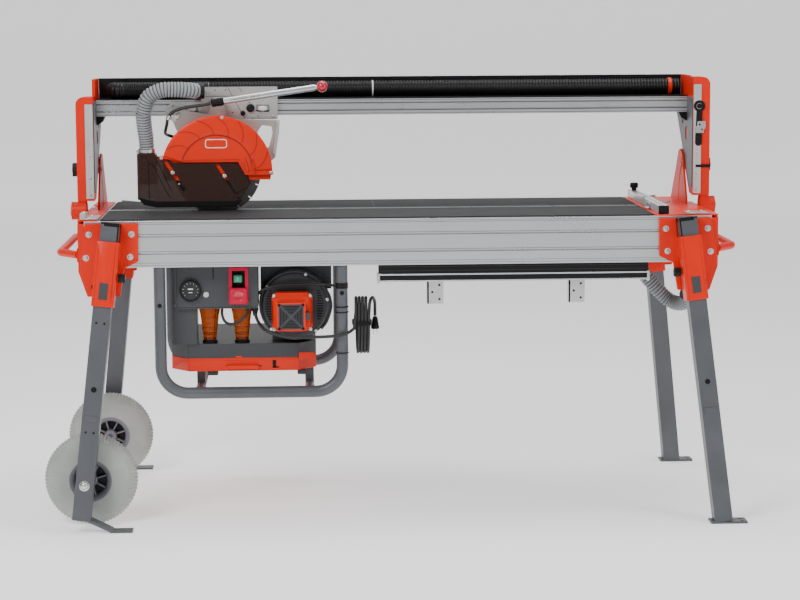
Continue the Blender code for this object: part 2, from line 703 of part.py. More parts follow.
def carriage():
    """The plate that runs along the rail, hooked under and behind it."""
    outline = [(-0.645, 1.112), (-0.665, 1.125), (-0.665, 1.148), (-0.640, 1.163), (-0.561, 1.163),
               (-0.561, 1.205), (-0.339, 1.205), (-0.339, 1.112)]
    windows = [rectangle((x - 0.021, ROLLER_Z - 0.0115), (x + 0.021, ROLLER_Z + 0.0115))
               for x in ROLLERS]
    body = plate("carriage_plate", "Y", 0.0445, 0.0505, outline, ALUMINIUM, windows)
    sole = box("carriage_sole", (-0.640, 0.046, 1.110), (-0.341, 0.125, 1.1155))
    hook = box("carriage_hook", (-0.600, 0.119, 1.112), (-0.380, 0.1243, 1.160))
    cuff = rod("carriage_cuff", (-0.598, 0.0915, 1.1945), (-0.540, 0.0915, 1.1945), 0.0235, sides=16)
    stem = box("carriage_stem", (-0.5595, 0.048, 1.178), (-0.5420, 0.080, 1.202))
    elbow = rod("carriage_elbow", (-0.572, -0.0040, 1.195), (-0.572, 0.100, 1.195), 0.0195, sides=16)
    join(body, sole, solver="MANIFOLD")
    join(body, hook, cuff, stem, elbow)
    for number, x in enumerate(ROLLERS):
        axle = rod(f"carriage_axle{number}", (x, ROLLER_Y, 1.128), (x, ROLLER_Y, 1.156), 0.0028,
                   sides=10)
        join(body, axle)
    return body


def roller(name, x):
    profile = [(0.0032, 0.0065), (0.0125, 0.0065), (0.0140, 0.004), (0.0140, -0.004),
               (0.0125, -0.0065), (0.0032, -0.0065)]
    return turned(name, profile, (x, ROLLER_Y, ROLLER_Z), (0, 0, 1), ZINC, 20)


# ---------------------------------------------------------------- head
def head_arm():
    """The casting on the plunge pivot that carries motor, guard and grip."""
    px, pz = PLUNGE_AXIS.x, PLUNGE_AXIS.z
    outline = (ring((px, pz), 0.022, 8, 100, 240)
               + [(-0.600, 1.000), (-0.570, 0.925), (-0.460, 0.925), (-0.430, 0.985),
                  (-0.395, 1.000), (-0.365, 0.985), (-0.347, 1.000), (-0.336, 1.070),
                  (-0.333, 1.108), (-0.490, 1.112), (-0.492, 1.176), (-0.528, 1.176),
                  (-0.540, 1.125)])
    grip_gap = [(-0.385, 1.025), (-0.365, 1.030), (-0.355, 1.070), (-0.357, 1.090),
                (-0.385, 1.094), (-0.398, 1.075)]
    arm = plate("head_arm", "Y", 0.0245, 0.0330, outline, ZINC, [grip_gap])
    stub = box("head_stub", (-0.522, -0.0495, 1.158), (-0.502, 0.026, 1.174))
    arbor = ring((BLADE_CENTRE.x, BLADE_CENTRE.z), 0.014, 14)
    hole = plate("head_bore", "Y", 0.02, 0.04, arbor)
    join(arm, stub, solver="MANIFOLD")
    cut(arm, hole)
    return arm


def saw_motor():
    """The motor behind the arm, with a vented end cap."""
    profile = [(0, 0.0), (0.046, 0.0), (0.050, -0.004), (0.050, -0.054), (0.042, -0.073), (0, -0.073)]
    body = turned("saw_motor", profile, (BLADE_CENTRE.x, 0.0333, 1.022), (0, -1, 0), BLACK, 28)
    gear = rod("motor_gearcase", (BLADE_CENTRE.x, 0.0333, 0.966), (BLADE_CENTRE.x, 0.055, 0.966),
               0.030, sides=20)
    join(body, gear)
    return body


def guard():
    """The blade guard: a hollow body with a raised cover on its front."""
    cx, cz = BLADE_CENTRE.x, BLADE_CENTRE.z
    def dome(radius, low, first, last):
        return ring((cx, cz), radius, 24, first, last) + low
    body = plate("blade_guard", "Y", GUARD_FRONT + 0.005, GUARD_BACK,
                 dome(0.156, [(-0.665, 0.940), (-0.362, 0.940)], -9.5, 189.5), ORANGE)
    hollow = plate("guard_hollow", "Y", GUARD_FRONT + 0.008, GUARD_BACK - 0.003,
                   dome(0.153, [(-0.664, 0.90), (-0.366, 0.90)], -9.5, 189.5))
    lower = [(-0.673, 1.005), (-0.609, 0.993), (-0.454, 0.993), (-0.433, 0.955), (-0.3555, 0.955)]
    cover = plate("guard_cover", "Y", -0.0520, -0.0465, dome(GUARD_RADIUS, lower, -4, 166))
    rib = plate("guard_rib", "Y", -0.0475, -0.0395, dome(0.154, [], 42, 138))
    join(body, cover, rib)
    cut(body, hollow)
    bore = rod("guard_bore", (cx, 0.015, cz), (cx, 0.030, cz), 0.020, sides=20)
    cut(body, bore)
    for number, (x, z) in enumerate(STUDS):
        stud = rod(f"guard_stud{number}", (x, -0.0495, z), (x, -0.0385, z), 0.003, sides=10)
        cap = rod(f"guard_cap{number}", (x, -0.0495, z), (x, -0.0462, z), 0.0062, sides=12)
        join(body, stud, cap)
    return body


STUDS = ((-0.642, 0.963), (-0.493, 0.952))


def shroud():
    """The smoked dust shroud that slides on two studs of the guard."""
    outline = [(-0.744, 1.018), (-0.741, 0.887), (-0.725, 0.870), (-0.690, 0.863),
               (-0.462, 0.863), (-0.445, 0.880), (-0.448, 0.897), (-0.418, 0.930),
               (-0.440, 0.990), (-0.640, 0.990), (-0.664, 1.008)]
    slide = SHROUD_SLIDE.normalized()
    slots = []
    for x, z in STUDS:
        high = (x + slide.x * 0.036, z + slide.z * 0.036)
        low = (x - slide.x * 0.058, z - slide.z * 0.058)
        slots.append(slot_outline(low, high, 0.0050))
    front = plate("blade_shroud", "Y", -0.0457, -0.0411, outline, SMOKE, slots)
    end = plate("shroud_end", "X", -0.744, -0.7405,
                [(-0.045, 0.885), (0.021, 0.925), (0.021, 1.0165), (-0.045, 1.0165)])
    back = box("shroud_back", (-0.744, 0.0175, 0.925), (-0.690, 0.021, 1.0165))
    top = plate("shroud_top", "Z", 1.0135, 1.018,
                rectangle((-0.744, -0.045), (-0.690, 0.021)), None,
                [ring((-0.7175, -0.0125), 0.019, 16)])
    collar = turned("shroud_collar", [(0.0195, 0.0), (0.0235, 0.0), (0.0235, -0.016), (0.0195, -0.016)],
                    (-0.7175, -0.0125, 1.0305), (0, 0, 1), None, 20)
    join(front, end, back, top, collar)
    return front


def blade():
    """The diamond blade with its flange and arbor."""
    profile = [(0, 0.0240), (0.010, 0.0240), (0.010, 0.004), (0.026, 0.004), (0.026, 0.0012),
               (BLADE_RADIUS, 0.0012), (BLADE_RADIUS, -0.0012), (0.026, -0.0012), (0.026, -0.004),
               (0.012, -0.004), (0.012, -0.014), (0, -0.014)]
    return turned("saw_blade", profile, BLADE_CENTRE, (0, 1, 0), STEEL, 48)


def lever():
    """The long handle with its ball, fixed to the head's stub."""
    start, end = Vector((-0.528, -0.0655, 1.1625)), Vector((-0.222, -0.0655, 1.206))
    bar_piece = rod("handle_lever", start, end, 0.0085, ALUMINIUM, 14)
    step = (end - start).normalized()
    sleeve = rod("lever_sleeve", start, start + step * 0.034, 0.0125, sides=14)
    ball = turned("lever_ball", [(0.0165 * math.sin(math.radians(a)), 0.0165 * math.cos(math.radians(a)))
                                 for a in range(0, 181, 20)], end + step * 0.012, (1, 0, 0), None, 14)
    join(bar_piece, sleeve, ball)
    return bar_piece


def head_hoses():
    """The dust hose from the shroud up to the carriage, and the motor cable."""
    route = smooth_route([(-0.7175, -0.0125, 1.0350), (-0.7185, -0.0145, 1.058),
                          (-0.722, -0.026, 1.095), (-0.724, -0.043, 1.135), (-0.708, -0.055, 1.178), (-0.672, -0.060, 1.199), (-0.630, -0.057, 1.2015),
                          (-0.598, -0.0500, 1.1995), (-0.5790, -0.038, 1.197),
                          (-0.5722, -0.0225, 1.195)], 0.028)
    tube("dust_hose", route, 0.0225, HOSE, 2)
    cable = smooth_route([(-0.5300, -0.0655, 1.1615), (-0.560, -0.064, 1.156), (-0.600, -0.058, 1.150),
                          (-0.634, -0.057, 1.140), (-0.651, -0.057, 1.122), (-0.656, -0.050, 1.102),
                          (-0.661, -0.030, 1.085), (-0.664, 0.0, 1.075), (-0.661, 0.034, 1.068),
                          (-0.641, 0.052, 1.060), (-0.602, 0.056, 1.048), (-0.5690, 0.056, 1.035)],
                         0.012)
    tube("motor_cable", cable, 0.0045, BLACK, 2)


# ---------------------------------------------------------------- stops
def fence():
    """The measuring fence that swings over the right end of the table."""
    start, end = Vector((0.742, -0.285, 0.8635)), Vector((0.742, 0.285, 0.8635))
    body = box("angle_fence", (start.x - 0.014, start.y, 0.8524), (end.x + 0.014, end.y, 0.8745),
               ALUMINIUM)
    stop = box("fence_stop", (0.722, -0.030, 0.856), (0.730, -0.008, 0.880))
    hole = rod("fence_hole", (0.742, 0.262, 0.84), (0.742, 0.262, 0.90), 0.0045, sides=12)
    join(body, stop)
    cut(body, hole)
    knob = rod("fence_knob", (0.742, 0.262, 0.8752), (0.742, 0.262, 0.8985), 0.0125, BLACK, 12)
    stud = rod("fence_stud", (0.742, 0.262, 0.8522), (0.742, 0.262, 0.880), 0.004, sides=10)
    join(knob, stud)
    swing = pivot("fence_pivot", (0.742, 0.262, 0.8635))
    hang_all(swing, body, knob)


def leg_knob(name, x, y):
    """The knob that locks one leg in its socket."""
    at = leg_line(x, y, 0.695)
    inner = at.x - x * (LEG_HALF + 0.0090)
    knob = rod(name, (inner, at.y, 0.695), (inner - x * 0.020, at.y, 0.695), 0.013, BLACK, 12)
    hang(knob, pivot(name + "_pivot", (inner, at.y, 0.695)))


CORNERS = {"front_left": (-1, -1), "front_right": (1, -1), "rear_left": (-1, 1), "rear_right": (1, 1)}


def build_table():
    beam("front_beam", -1)
    beam("rear_beam", 1)
    deck()
    mat("front_mat", -1)
    mat("rear_mat", 1)
    end_plate("left_end_plate", -1, 0.838)
    end_plate("right_end_plate", 1, 0.716)
    end_handle("end_handle_left", -1)
    end_handle("end_handle_right", 1)
    for corner, (x, y) in CORNERS.items():
        leg_socket("leg_socket_" + corner, x, y)
        slide = pivot("leg_slide_" + corner, leg_line(x, y, LEG_TOP.z))
        hang(leg("leg_" + corner, x, y), slide)
        leg_knob("leg_knob_" + corner, x, y)
        if x < 0:
            spin = pivot("wheel_pivot_" + corner, (-WHEEL_X, y * WHEEL_Y, WHEEL_RADIUS))
            hang(wheel("wheel_" + corner[:-5], y), spin)
    fence()


def build_extractor():
    underframe()
    control_box()
    cyclone("cyclone_left", -0.537)
    cyclone("cyclone_right", -0.446)
    extractor()
    tube("duct_hose", ducts(), 0.0225, HOSE, 2)
    side_table()
    mains()


def build_bridge():
    tilt = pivot("bridge_tilt", TILT_AXIS)
    pieces = [rail(), tray(), wrench(), upright("upright_left", -1, 1.181),
              upright("upright_right", 1, 1.2265)]
    bridge_hoses()
    pieces += [bpy.data.objects["bridge_duct_hose"], bpy.data.objects["stretch_hose"]]
    hang_all(tilt, *pieces)
    y, z = bolt_centre()
    for name, x in (("tilt_knob_left", -1), ("tilt_knob_right", 1)):
        turn = pivot(name + "_pivot", (x * 0.93, y, z), tilt)
        hang(tilt_knob(name, x), turn)
    run = pivot("carriage_slide", (-0.452, 0.0475, ROLLER_Z), tilt)
    hang(carriage(), run)
    for name, x in zip(("guide_roller_left", "guide_roller_right"), ROLLERS):
        hang(roller(name, x), pivot(name + "_pivot", (x, ROLLER_Y, ROLLER_Z), run))
    plunge = pivot("head_plunge", PLUNGE_AXIS, run)
    head_hoses()
    hang_all(plunge, head_arm(), saw_motor(), guard(), lever(),
             bpy.data.objects["dust_hose"], bpy.data.objects["motor_cable"])
    hang(blade(), pivot("blade_spin", BLADE_CENTRE, plunge))
    hang(shroud(), pivot("shroud_slide", (-0.58, -0.043, 0.94), plunge))


def centre_model():
    """Put the origin under the middle of the model's box, wheels included."""
    base = bpy.data.objects.new("model_base", None)
    PARTS.objects.link(base)
    for piece in [*PARTS.objects, *CUTTERS.objects]:
        if piece.parent is None and piece is not base:
            hang(piece, base)
    base.location.x = FRAME_SHIFT


build_table()
build_extractor()
build_bridge()
centre_model()
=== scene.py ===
"""Looks of the bridge tile saw: fine meshes, materials, camera and light."""
import math

import bmesh
import bpy
from mathutils import Matrix, Vector


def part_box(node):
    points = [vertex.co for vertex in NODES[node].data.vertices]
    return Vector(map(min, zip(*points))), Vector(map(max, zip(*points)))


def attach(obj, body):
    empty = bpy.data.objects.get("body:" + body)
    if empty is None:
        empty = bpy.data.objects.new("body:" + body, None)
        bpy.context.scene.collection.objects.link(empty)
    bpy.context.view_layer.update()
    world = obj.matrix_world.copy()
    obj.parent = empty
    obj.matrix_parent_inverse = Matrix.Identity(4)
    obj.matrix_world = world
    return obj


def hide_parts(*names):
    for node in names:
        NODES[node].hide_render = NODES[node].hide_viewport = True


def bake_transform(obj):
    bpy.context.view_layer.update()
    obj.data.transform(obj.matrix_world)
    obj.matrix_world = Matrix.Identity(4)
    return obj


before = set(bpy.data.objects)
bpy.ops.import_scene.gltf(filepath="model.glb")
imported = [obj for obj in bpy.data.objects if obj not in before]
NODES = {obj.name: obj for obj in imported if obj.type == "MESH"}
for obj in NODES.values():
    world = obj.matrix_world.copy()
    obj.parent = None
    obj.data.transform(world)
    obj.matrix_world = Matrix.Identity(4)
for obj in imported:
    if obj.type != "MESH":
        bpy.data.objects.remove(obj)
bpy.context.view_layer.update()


def middle(node):
    """The middle of a node's box at rest."""
    low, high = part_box(node)
    return (low + high) / 2


# Everything below is drawn about the middle of the table and moved by SHIFT.
SHIFT = Vector((middle("front_beam").x, 0, 0))
TABLE_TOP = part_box("front_mat")[1].z
DECK_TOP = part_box("front_beam")[1].z
BEAM_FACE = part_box("front_beam")[0].y
BLADE = middle("saw_blade") - SHIFT
BLADE.y = 0.0
RAIL_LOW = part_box("bridge_beam")[0] - SHIFT
CORNERS = {"front_left": (-1, -1), "front_right": (1, -1), "rear_left": (-1, 1), "rear_right": (1, 1)}


# ------------------------------------------------------------ materials
def shader_of(name, colour, roughness, metallic=0.0, **more):
    """A node material and its Principled shader."""
    made = bpy.data.materials.new(name)
    made.use_nodes = True
    tree = made.node_tree
    shader = tree.nodes["Principled BSDF"]
    shader.inputs["Base Color"].default_value = (*colour, 1.0)
    shader.inputs["Roughness"].default_value = roughness
    shader.inputs["Metallic"].default_value = metallic
    for socket, value in more.items():
        shader.inputs[socket.replace("_", " ")].default_value = value
    return made, tree, shader


def coordinates(tree, scale=(1, 1, 1)):
    """Object coordinates, stretched."""
    place = tree.nodes.new("ShaderNodeTexCoord")
    mapping = tree.nodes.new("ShaderNodeMapping")
    mapping.inputs["Scale"].default_value = scale
    tree.links.new(place.outputs["Object"], mapping.inputs["Vector"])
    return mapping.outputs["Vector"]


def noise_at(tree, vector, scale, detail=4.0, rough=0.55):
    """Soft noise at the given coordinates."""
    cloud = tree.nodes.new("ShaderNodeTexNoise")
    cloud.inputs["Scale"].default_value = scale
    cloud.inputs["Detail"].default_value = detail
    cloud.inputs["Roughness"].default_value = rough
    tree.links.new(vector, cloud.inputs["Vector"])
    return cloud.outputs["Fac"]


def ramp(tree, fac, stops):
    """A colour ramp from (position, colour) stops."""
    node = tree.nodes.new("ShaderNodeValToRGB")
    elements = node.color_ramp.elements
    while len(elements) < len(stops):
        elements.new(0.5)
    for element, (position, colour) in zip(elements, stops):
        element.position = position
        element.color = (*colour, 1.0) if len(colour) == 3 else colour
    tree.links.new(fac, node.inputs["Fac"])
    return node.outputs["Color"]


def bump(tree, shader, height, strength, distance):
    """A fine relief on a shader."""
    node = tree.nodes.new("ShaderNodeBump")
    node.inputs["Strength"].default_value = strength
    node.inputs["Distance"].default_value = distance
    tree.links.new(height, node.inputs["Height"])
    tree.links.new(node.outputs["Normal"], shader.inputs["Normal"])


def grey(value):
    """A grey of one value, as a colour."""
    return (value, value, value)


def coated(name, colour, roughness, grain, depth, spread=0.12, **more):
    """Paint or plastic: colour drifts a little, and the surface has a grain."""
    made, tree, shader = shader_of(name, colour, roughness, **more)
    vector = coordinates(tree)
    drift = noise_at(tree, vector, 7.0, 3.0)
    low = tuple(c * (1 - spread) for c in colour)
    high = tuple(min(1.0, c * (1 + spread)) for c in colour)
    tree.links.new(ramp(tree, drift, [(0.3, low), (0.7, high)]), shader.inputs["Base Color"])
    fine = noise_at(tree, vector, grain, 3.0)
    rough = ramp(tree, fine, [(0.3, grey(roughness * 0.85)), (0.7, grey(min(1, roughness * 1.15)))])
    tree.links.new(rough, shader.inputs["Roughness"])
    bump(tree, shader, fine, 0.35, depth)
    return made


def brushed(name, colour, roughness, along, metallic=0.85):
    """Metal with fine drawn lines along one axis."""
    made, tree, shader = shader_of(name, colour, roughness, metallic)
    scale = [900.0, 900.0, 900.0]
    scale["XYZ".index(along)] = 4.0
    lines = noise_at(tree, coordinates(tree, scale), 1.0, 2.0, 0.5)
    cloud = noise_at(tree, coordinates(tree), 9.0, 4.0)
    shade = ramp(tree, lines,
                 [(0.2, tuple(c * 0.94 for c in colour)), (0.8, tuple(min(1, c * 1.04) for c in colour))])
    tree.links.new(shade, shader.inputs["Base Color"])
    rough = ramp(tree, cloud, [(0.25, grey(roughness * 0.8)), (0.75, grey(roughness * 1.25))])
    tree.links.new(rough, shader.inputs["Roughness"])
    bump(tree, shader, lines, 0.03, 0.0001)
    return made


def speckled(name, dark, light, roughness, scale, depth):
    """Rubber with a fine pebble."""
    made, tree, shader = shader_of(name, dark, roughness)
    vector = coordinates(tree)
    cells = tree.nodes.new("ShaderNodeTexVoronoi")
    cells.inputs["Scale"].default_value = scale
    tree.links.new(vector, cells.inputs["Vector"])
    cloud = noise_at(tree, vector, 14.0, 6.0)
    tree.links.new(ramp(tree, cloud, [(0.3, dark), (0.75, light)]), shader.inputs["Base Color"])
    bump(tree, shader, cells.outputs["Distance"], 0.4, depth)
    return made


def clear(name, colour, roughness, transmission, alpha=1.0):
    """Tinted see-through plastic with light scuffs."""
    made, tree, shader = shader_of(name, colour, roughness, Transmission_Weight=transmission,
                                   IOR=1.25, Alpha=alpha)
    scuff = noise_at(tree, coordinates(tree, (1, 1, 6)), 60.0, 6.0)
    rough = ramp(tree, scuff, [(0.35, grey(roughness * 0.6)), (0.75, grey(roughness * 1.8))])
    tree.links.new(rough, shader.inputs["Roughness"])
    bump(tree, shader, scuff, 0.05, 0.0003)
    return made


def turned_metal(name, colour, roughness):
    """Ground steel whose lines run round the Y axis through the blade."""
    made, tree, shader = shader_of(name, colour, roughness, 0.9)
    place = tree.nodes.new("ShaderNodeTexCoord")
    length = tree.nodes.new("ShaderNodeVectorMath")
    length.operation = "LENGTH"
    move = tree.nodes.new("ShaderNodeMapping")
    move.inputs["Location"].default_value = (-BLADE.x, 0, -BLADE.z)
    move.inputs["Scale"].default_value = (1, 0, 1)
    tree.links.new(place.outputs["Object"], move.inputs["Vector"])
    tree.links.new(move.outputs["Vector"], length.inputs[0])
    rings = tree.nodes.new("ShaderNodeTexNoise")
    rings.noise_dimensions = "1D"
    rings.inputs["Scale"].default_value = 900.0
    tree.links.new(length.outputs["Value"], rings.inputs["W"])
    shade = ramp(tree, rings.outputs["Fac"], [(0.3, tuple(c * 0.8 for c in colour)), (0.7, colour)])
    tree.links.new(shade, shader.inputs["Base Color"])
    bump(tree, shader, rings.outputs["Fac"], 0.15, 0.0002)
    return made


ORANGE = coated("orange powder coat", (0.72, 0.016, 0.0006), 0.4, 900.0, 0.00015, 0.05,
                Specular_IOR_Level=0.22)
ORANGE_PLASTIC = coated("orange plastic", (0.76, 0.022, 0.0008), 0.32, 700.0, 0.0001, 0.05,
                        Specular_IOR_Level=0.25)
# Painted shade: a darker copy of the orange plastic, laid in the guard's pressed grooves.
GROOVE_SHADE = coated("orange groove shade", (0.3, 0.008, 0.001), 0.5, 700.0, 0.0001)
# Slate also paints shade into the grooves of drawn aluminium.
SLATE = coated("slate powder coat and painted shade", (0.074, 0.08, 0.09), 0.42, 650.0, 0.0006, 0.16, Specular_IOR_Level=0.6)
SLATE_PLASTIC = coated("slate plastic", (0.04, 0.043, 0.048), 0.5, 1200.0, 0.0002, 0.1)
# Black also paints shade into holes, slots, gaps and the wheel rims, and over the shaded gussets.
BLACK = coated("black plastic and painted shade", (0.005, 0.005, 0.006), 0.42, 1200.0, 0.0002, 0.2, Specular_IOR_Level=0.25)
BLACK_HOSE = coated("black hose", (0.006, 0.006, 0.007), 0.42, 500.0, 0.0002, 0.2, Specular_IOR_Level=0.25)
CORD = coated("black cord", (0.012, 0.012, 0.013), 0.5, 1500.0, 0.0002, 0.2)
GREY_HOSE = coated("grey hose", (0.27, 0.285, 0.3), 0.48, 500.0, 0.0002, 0.08)
CRIMSON = coated("crimson plastic", (0.55, 0.001, 0.04), 0.34, 900.0, 0.0001, 0.06, Specular_IOR_Level=0.25)
GREEN = coated("green plastic", (0.03, 0.3, 0.16), 0.35, 900.0, 0.0001, 0.06)
RED = coated("red knob", (0.5, 0.006, 0.03), 0.18, 600.0, 0.00005, 0.06, Coat_Weight=0.6)
WHITE = coated("pale print", (0.8, 0.8, 0.78), 0.5, 900.0, 0.0001, 0.04)
PINK = coated("pale scale", (0.78, 0.56, 0.52), 0.45, 900.0, 0.0001, 0.05)
# This dark colour is print, and also painted shade for small holes, vent slots and a shadow on the tray.
DARK_PRINT_AND_SHADE = coated("dark print and painted shade", (0.02, 0.02, 0.02), 0.5, 900.0, 0.0001, 0.05)
RIM = coated("rim plastic", (0.15, 0.15, 0.175), 0.5, 1000.0, 0.0002, 0.12)
MAT = speckled("mat rubber", (0.01, 0.011, 0.012), (0.02, 0.021, 0.023), 0.75, 420.0, 0.0006)
TYRE = speckled("tyre rubber", (0.31, 0.33, 0.31), (0.42, 0.44, 0.415), 0.75, 260.0, 0.0008)
ALUMINIUM = brushed("drawn aluminium", (0.62, 0.635, 0.65), 0.3, "X")
BAR_METAL = brushed("fence aluminium", (0.72, 0.73, 0.73), 0.32, "Y")
POST_METAL = brushed("post aluminium", (0.68, 0.69, 0.68), 0.38, "Z")
CAST = coated("cast aluminium", (0.5, 0.5, 0.48), 0.4, 420.0, 0.0005, 0.08, Metallic=0.7)
ZINC = coated("zinc plate", (0.62, 0.63, 0.62), 0.28, 300.0, 0.0002, 0.1, Metallic=0.9)
STEEL = turned_metal("blade steel", (0.16, 0.16, 0.155), 0.4)
SMOKE = clear("smoked plastic", (0.042, 0.019, 0.014), 0.12, 0.0, 0.88)
# Painted shade: a dark tube inside each grey ribbed hose that shows only in its valleys.
VALLEY_SHADE = coated("painted hose valley shade", (0.06, 0.064, 0.068), 0.6, 500.0, 0.0002, 0.08)
AMBER = clear("amber plastic", (0.36, 0.06, 0.004), 0.08, 0.75)
GLASS = clear("meter glass", (0.05, 0.05, 0.055), 0.05, 0.3)


# ------------------------------------------------------------ mesh tools
def piece_from(name, shape, material, body, smooth=None, bevel=0.0, segments=2):
    """Turn a bmesh into a piece that rides on a body."""
    bmesh.ops.recalc_face_normals(shape, faces=shape.faces)
    data = bpy.data.meshes.new(name)
    shape.to_mesh(data)
    shape.free()
    return settle(name, data, material, body, smooth, bevel, segments)


def settle(name, data, material, body, smooth=None, bevel=0.0, segments=2):
    """Makes the object: its material, smooth shading, bevel, place and body."""
    piece = bpy.data.objects.new(name, data)
    bpy.context.scene.collection.objects.link(piece)
    data.materials.clear()
    data.materials.append(material)
    if smooth is not None:
        data.shade_smooth()
        data.set_sharp_from_angle(angle=math.radians(smooth))
    if bevel:
        step = piece.modifiers.new("edges", "BEVEL")
        step.width = bevel
        step.segments = segments
        step.limit_method = "ANGLE"
        step.angle_limit = math.radians(32)
        step.harden_normals = False
    piece.location = SHIFT
    if body:
        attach(piece, body)
    return piece


def add_box(shape, low, high):
    """Adds a box between two corners to a mesh."""
    size = [b - a for a, b in zip(low, high)]
    centre = [(a + b) / 2 for a, b in zip(low, high)]
    place = Matrix.Translation(centre) @ Matrix.Diagonal((*size, 1.0))
    return bmesh.ops.create_cube(shape, size=1.0, matrix=place)["verts"]


def boxes(name, corners, material, body, bevel=0.001):
    """One piece of several bevelled blocks."""
    shape = bmesh.new()
    for low, high in corners:
        add_box(shape, low, high)
    return piece_from(name, shape, material, body, 30, bevel)


def along(start, end):
    """The frame that turns Z to the line from one point to another."""
    start, end = Vector(start), Vector(end)
    turn = (end - start).to_track_quat("Z", "Y").to_matrix().to_4x4()
    return Matrix.Translation(start) @ turn


def add_lathe(shape, start, end, profile, sides=32):
    """Revolve (radius, distance) pairs about the line start-end."""
    place = along(start, end)
    looped = profile[0] == profile[-1] and profile[0][0] > 1e-6
    rows = []
    for radius, height in profile[:-1] if looped else profile:
        if radius < 1e-6:
            rows.append([shape.verts.new(place @ Vector((0, 0, height)))])
            continue
        rows.append([shape.verts.new(place @ Vector((radius * math.cos(a), radius * math.sin(a), height)))
                     for a in (2 * math.pi * i / sides for i in range(sides))])
    for low, high in zip(rows, rows[1:] + rows[:1] if looped else rows[1:]):
        for i in range(sides):
            j = (i + 1) % sides
            corners = [low[i % len(low)], low[j % len(low)], high[j % len(high)], high[i % len(high)]]
            unique = list(dict.fromkeys(corners))
            if len(unique) > 2:
                shape.faces.new(unique)
    for row in () if looped else (rows[0], rows[-1]):
        if len(row) > 1:
            shape.faces.new(row)


def lathe(name, start, end, profile, material, body, sides=32, smooth=35):
    """A piece turned about the line from one point towards another."""
    shape = bmesh.new()
    add_lathe(shape, start, end, profile, sides)
    return piece_from(name, shape, material, body, smooth)


def rounded_rod(radius, length, edge=0.001):
    """A lathe profile of a bar with eased ends."""
    return [(0, 0), (radius - edge, 0), (radius, edge), (radius, length - edge),
            (radius - edge, length), (0, length)]


def rod(name, start, end, radius, material, body, sides=24, edge=0.001):
    """A round bar between two points."""
    length = (Vector(end) - Vector(start)).length
    return lathe(name, start, end, rounded_rod(radius, length, edge), material, body, sides)


FRAMES = {"X": Matrix(((0, 0, 1), (1, 0, 0), (0, 1, 0))), "Y": Matrix(((1, 0, 0), (0, 0, -1), (0, 1, 0))),
          "Z": Matrix.Identity(3)}


def plate_data(normal, low, high, outline, holes=()):
    """The mesh of a flat sheet with holes, across one axis."""
    curve = bpy.data.curves.new("outline", "CURVE")
    curve.dimensions = "2D"
    curve.fill_mode = "BOTH"
    curve.extrude = (high - low) / 2
    for path in [outline, *holes]:
        spline = curve.splines.new("POLY")
        spline.points.add(len(path) - 1)
        for point, (u, v) in zip(spline.points, path):
            point.co = (u, v, 0, 1)
        spline.use_cyclic_u = True
    drawn = bpy.data.objects.new("outline", curve)
    bpy.context.scene.collection.objects.link(drawn)
    bpy.context.view_layer.update()
    data = bpy.data.meshes.new_from_object(drawn.evaluated_get(bpy.context.evaluated_depsgraph_get()))
    bpy.data.objects.remove(drawn, do_unlink=True)
    turn = FRAMES[normal].to_4x4()
    axis = Vector([row[2] for row in FRAMES[normal]])
    shift = Matrix.Translation(axis * (1 if sum(axis) > 0 else -1) * (low + high) / 2)
    data.transform(shift @ turn)
    return data


def plate(name, normal, low, high, outline, material, body, holes=(), bevel=0.0008, smooth=30):
    """A flat outline with thickness along one axis."""
    shape = bmesh.new()
    shape.from_mesh(plate_data(normal, low, high, outline, holes))
    bmesh.ops.remove_doubles(shape, verts=shape.verts, dist=0.00003)
    bmesh.ops.dissolve_limit(shape, angle_limit=0.02, verts=shape.verts, edges=shape.edges)
    return piece_from(name, shape, material, body, smooth, bevel)


def arc(centre, radius, first=0.0, last=360.0, sides=24):
    """Points along part of a circle."""
    steps = sides if last - first >= 360.0 else sides + 1
    return [(centre[0] + radius * math.cos(math.radians(first + (last - first) * i / sides)),
             centre[1] + radius * math.sin(math.radians(first + (last - first) * i / sides)))
            for i in range(steps)]


def soft_rectangle(low, high, radius, sides=6):
    """A rectangle with round corners."""
    corners = ((high[0] - radius, high[1] - radius, 0), (low[0] + radius, high[1] - radius, 90),
               (low[0] + radius, low[1] + radius, 180), (high[0] - radius, low[1] + radius, 270))
    points = []
    for x, y, start in corners:
        points += arc((x, y), radius, start, start + 90, sides)
    return points


def round_corners(outline, radius, steps=4):
    """The same closed outline with its corners eased."""
    eased = []
    count = len(outline)
    for i in range(count):
        before, corner, after = (Vector(outline[(i + k) % count]) for k in (-1, 0, 1))
        u, v = before - corner, after - corner
        angle = u.angle(v)
        if angle > math.radians(170):
            eased.append(tuple(corner))
            continue
        reach = min(radius / math.tan(angle / 2), u.length * 0.45, v.length * 0.45)
        a, b = corner + u.normalized() * reach, corner + v.normalized() * reach
        for k in range(steps + 1):
            t = k / steps
            point = a * (1 - t) ** 2 + corner * 2 * t * (1 - t) + b * t * t
            eased.append(tuple(point))
    return eased


def bent_route(points, radius, steps=8):
    """A route whose corners are rounded with one radius."""
    points = [Vector(p) for p in points]
    route = [points[0]]
    for before, corner, after in zip(points, points[1:], points[2:]):
        u, v = (before - corner).normalized(), (after - corner).normalized()
        half = u.angle(v) / 2
        reach = radius / math.tan(half)
        centre = corner + (u + v).normalized() * radius / math.sin(half)
        a, b = corner + u * reach - centre, corner + v * reach - centre
        sweep = a.angle(b)
        for i in range(steps + 1):
            t = i / steps
            route.append(centre + (a * math.sin((1 - t) * sweep) + b * math.sin(t * sweep))
                         / math.sin(sweep))
    route.append(points[-1])
    return route


def smooth_route(points, spacing):
    """Evenly spaced points on a smooth curve through the given ones."""
    points = [Vector(p) for p in points]
    ends = [2 * points[0] - points[1], *points, 2 * points[-1] - points[-2]]
    fine = []
    for a, b, c, d in zip(ends, ends[1:], ends[2:], ends[3:]):
        for i in range(24):
            t = i / 24
            fine.append(0.5 * (2 * b + (c - a) * t + (2 * a - 5 * b + 4 * c - d) * t * t
                               + (3 * b - a - 3 * c + d) * t ** 3))
    fine.append(points[-1])
    return even(fine, spacing)


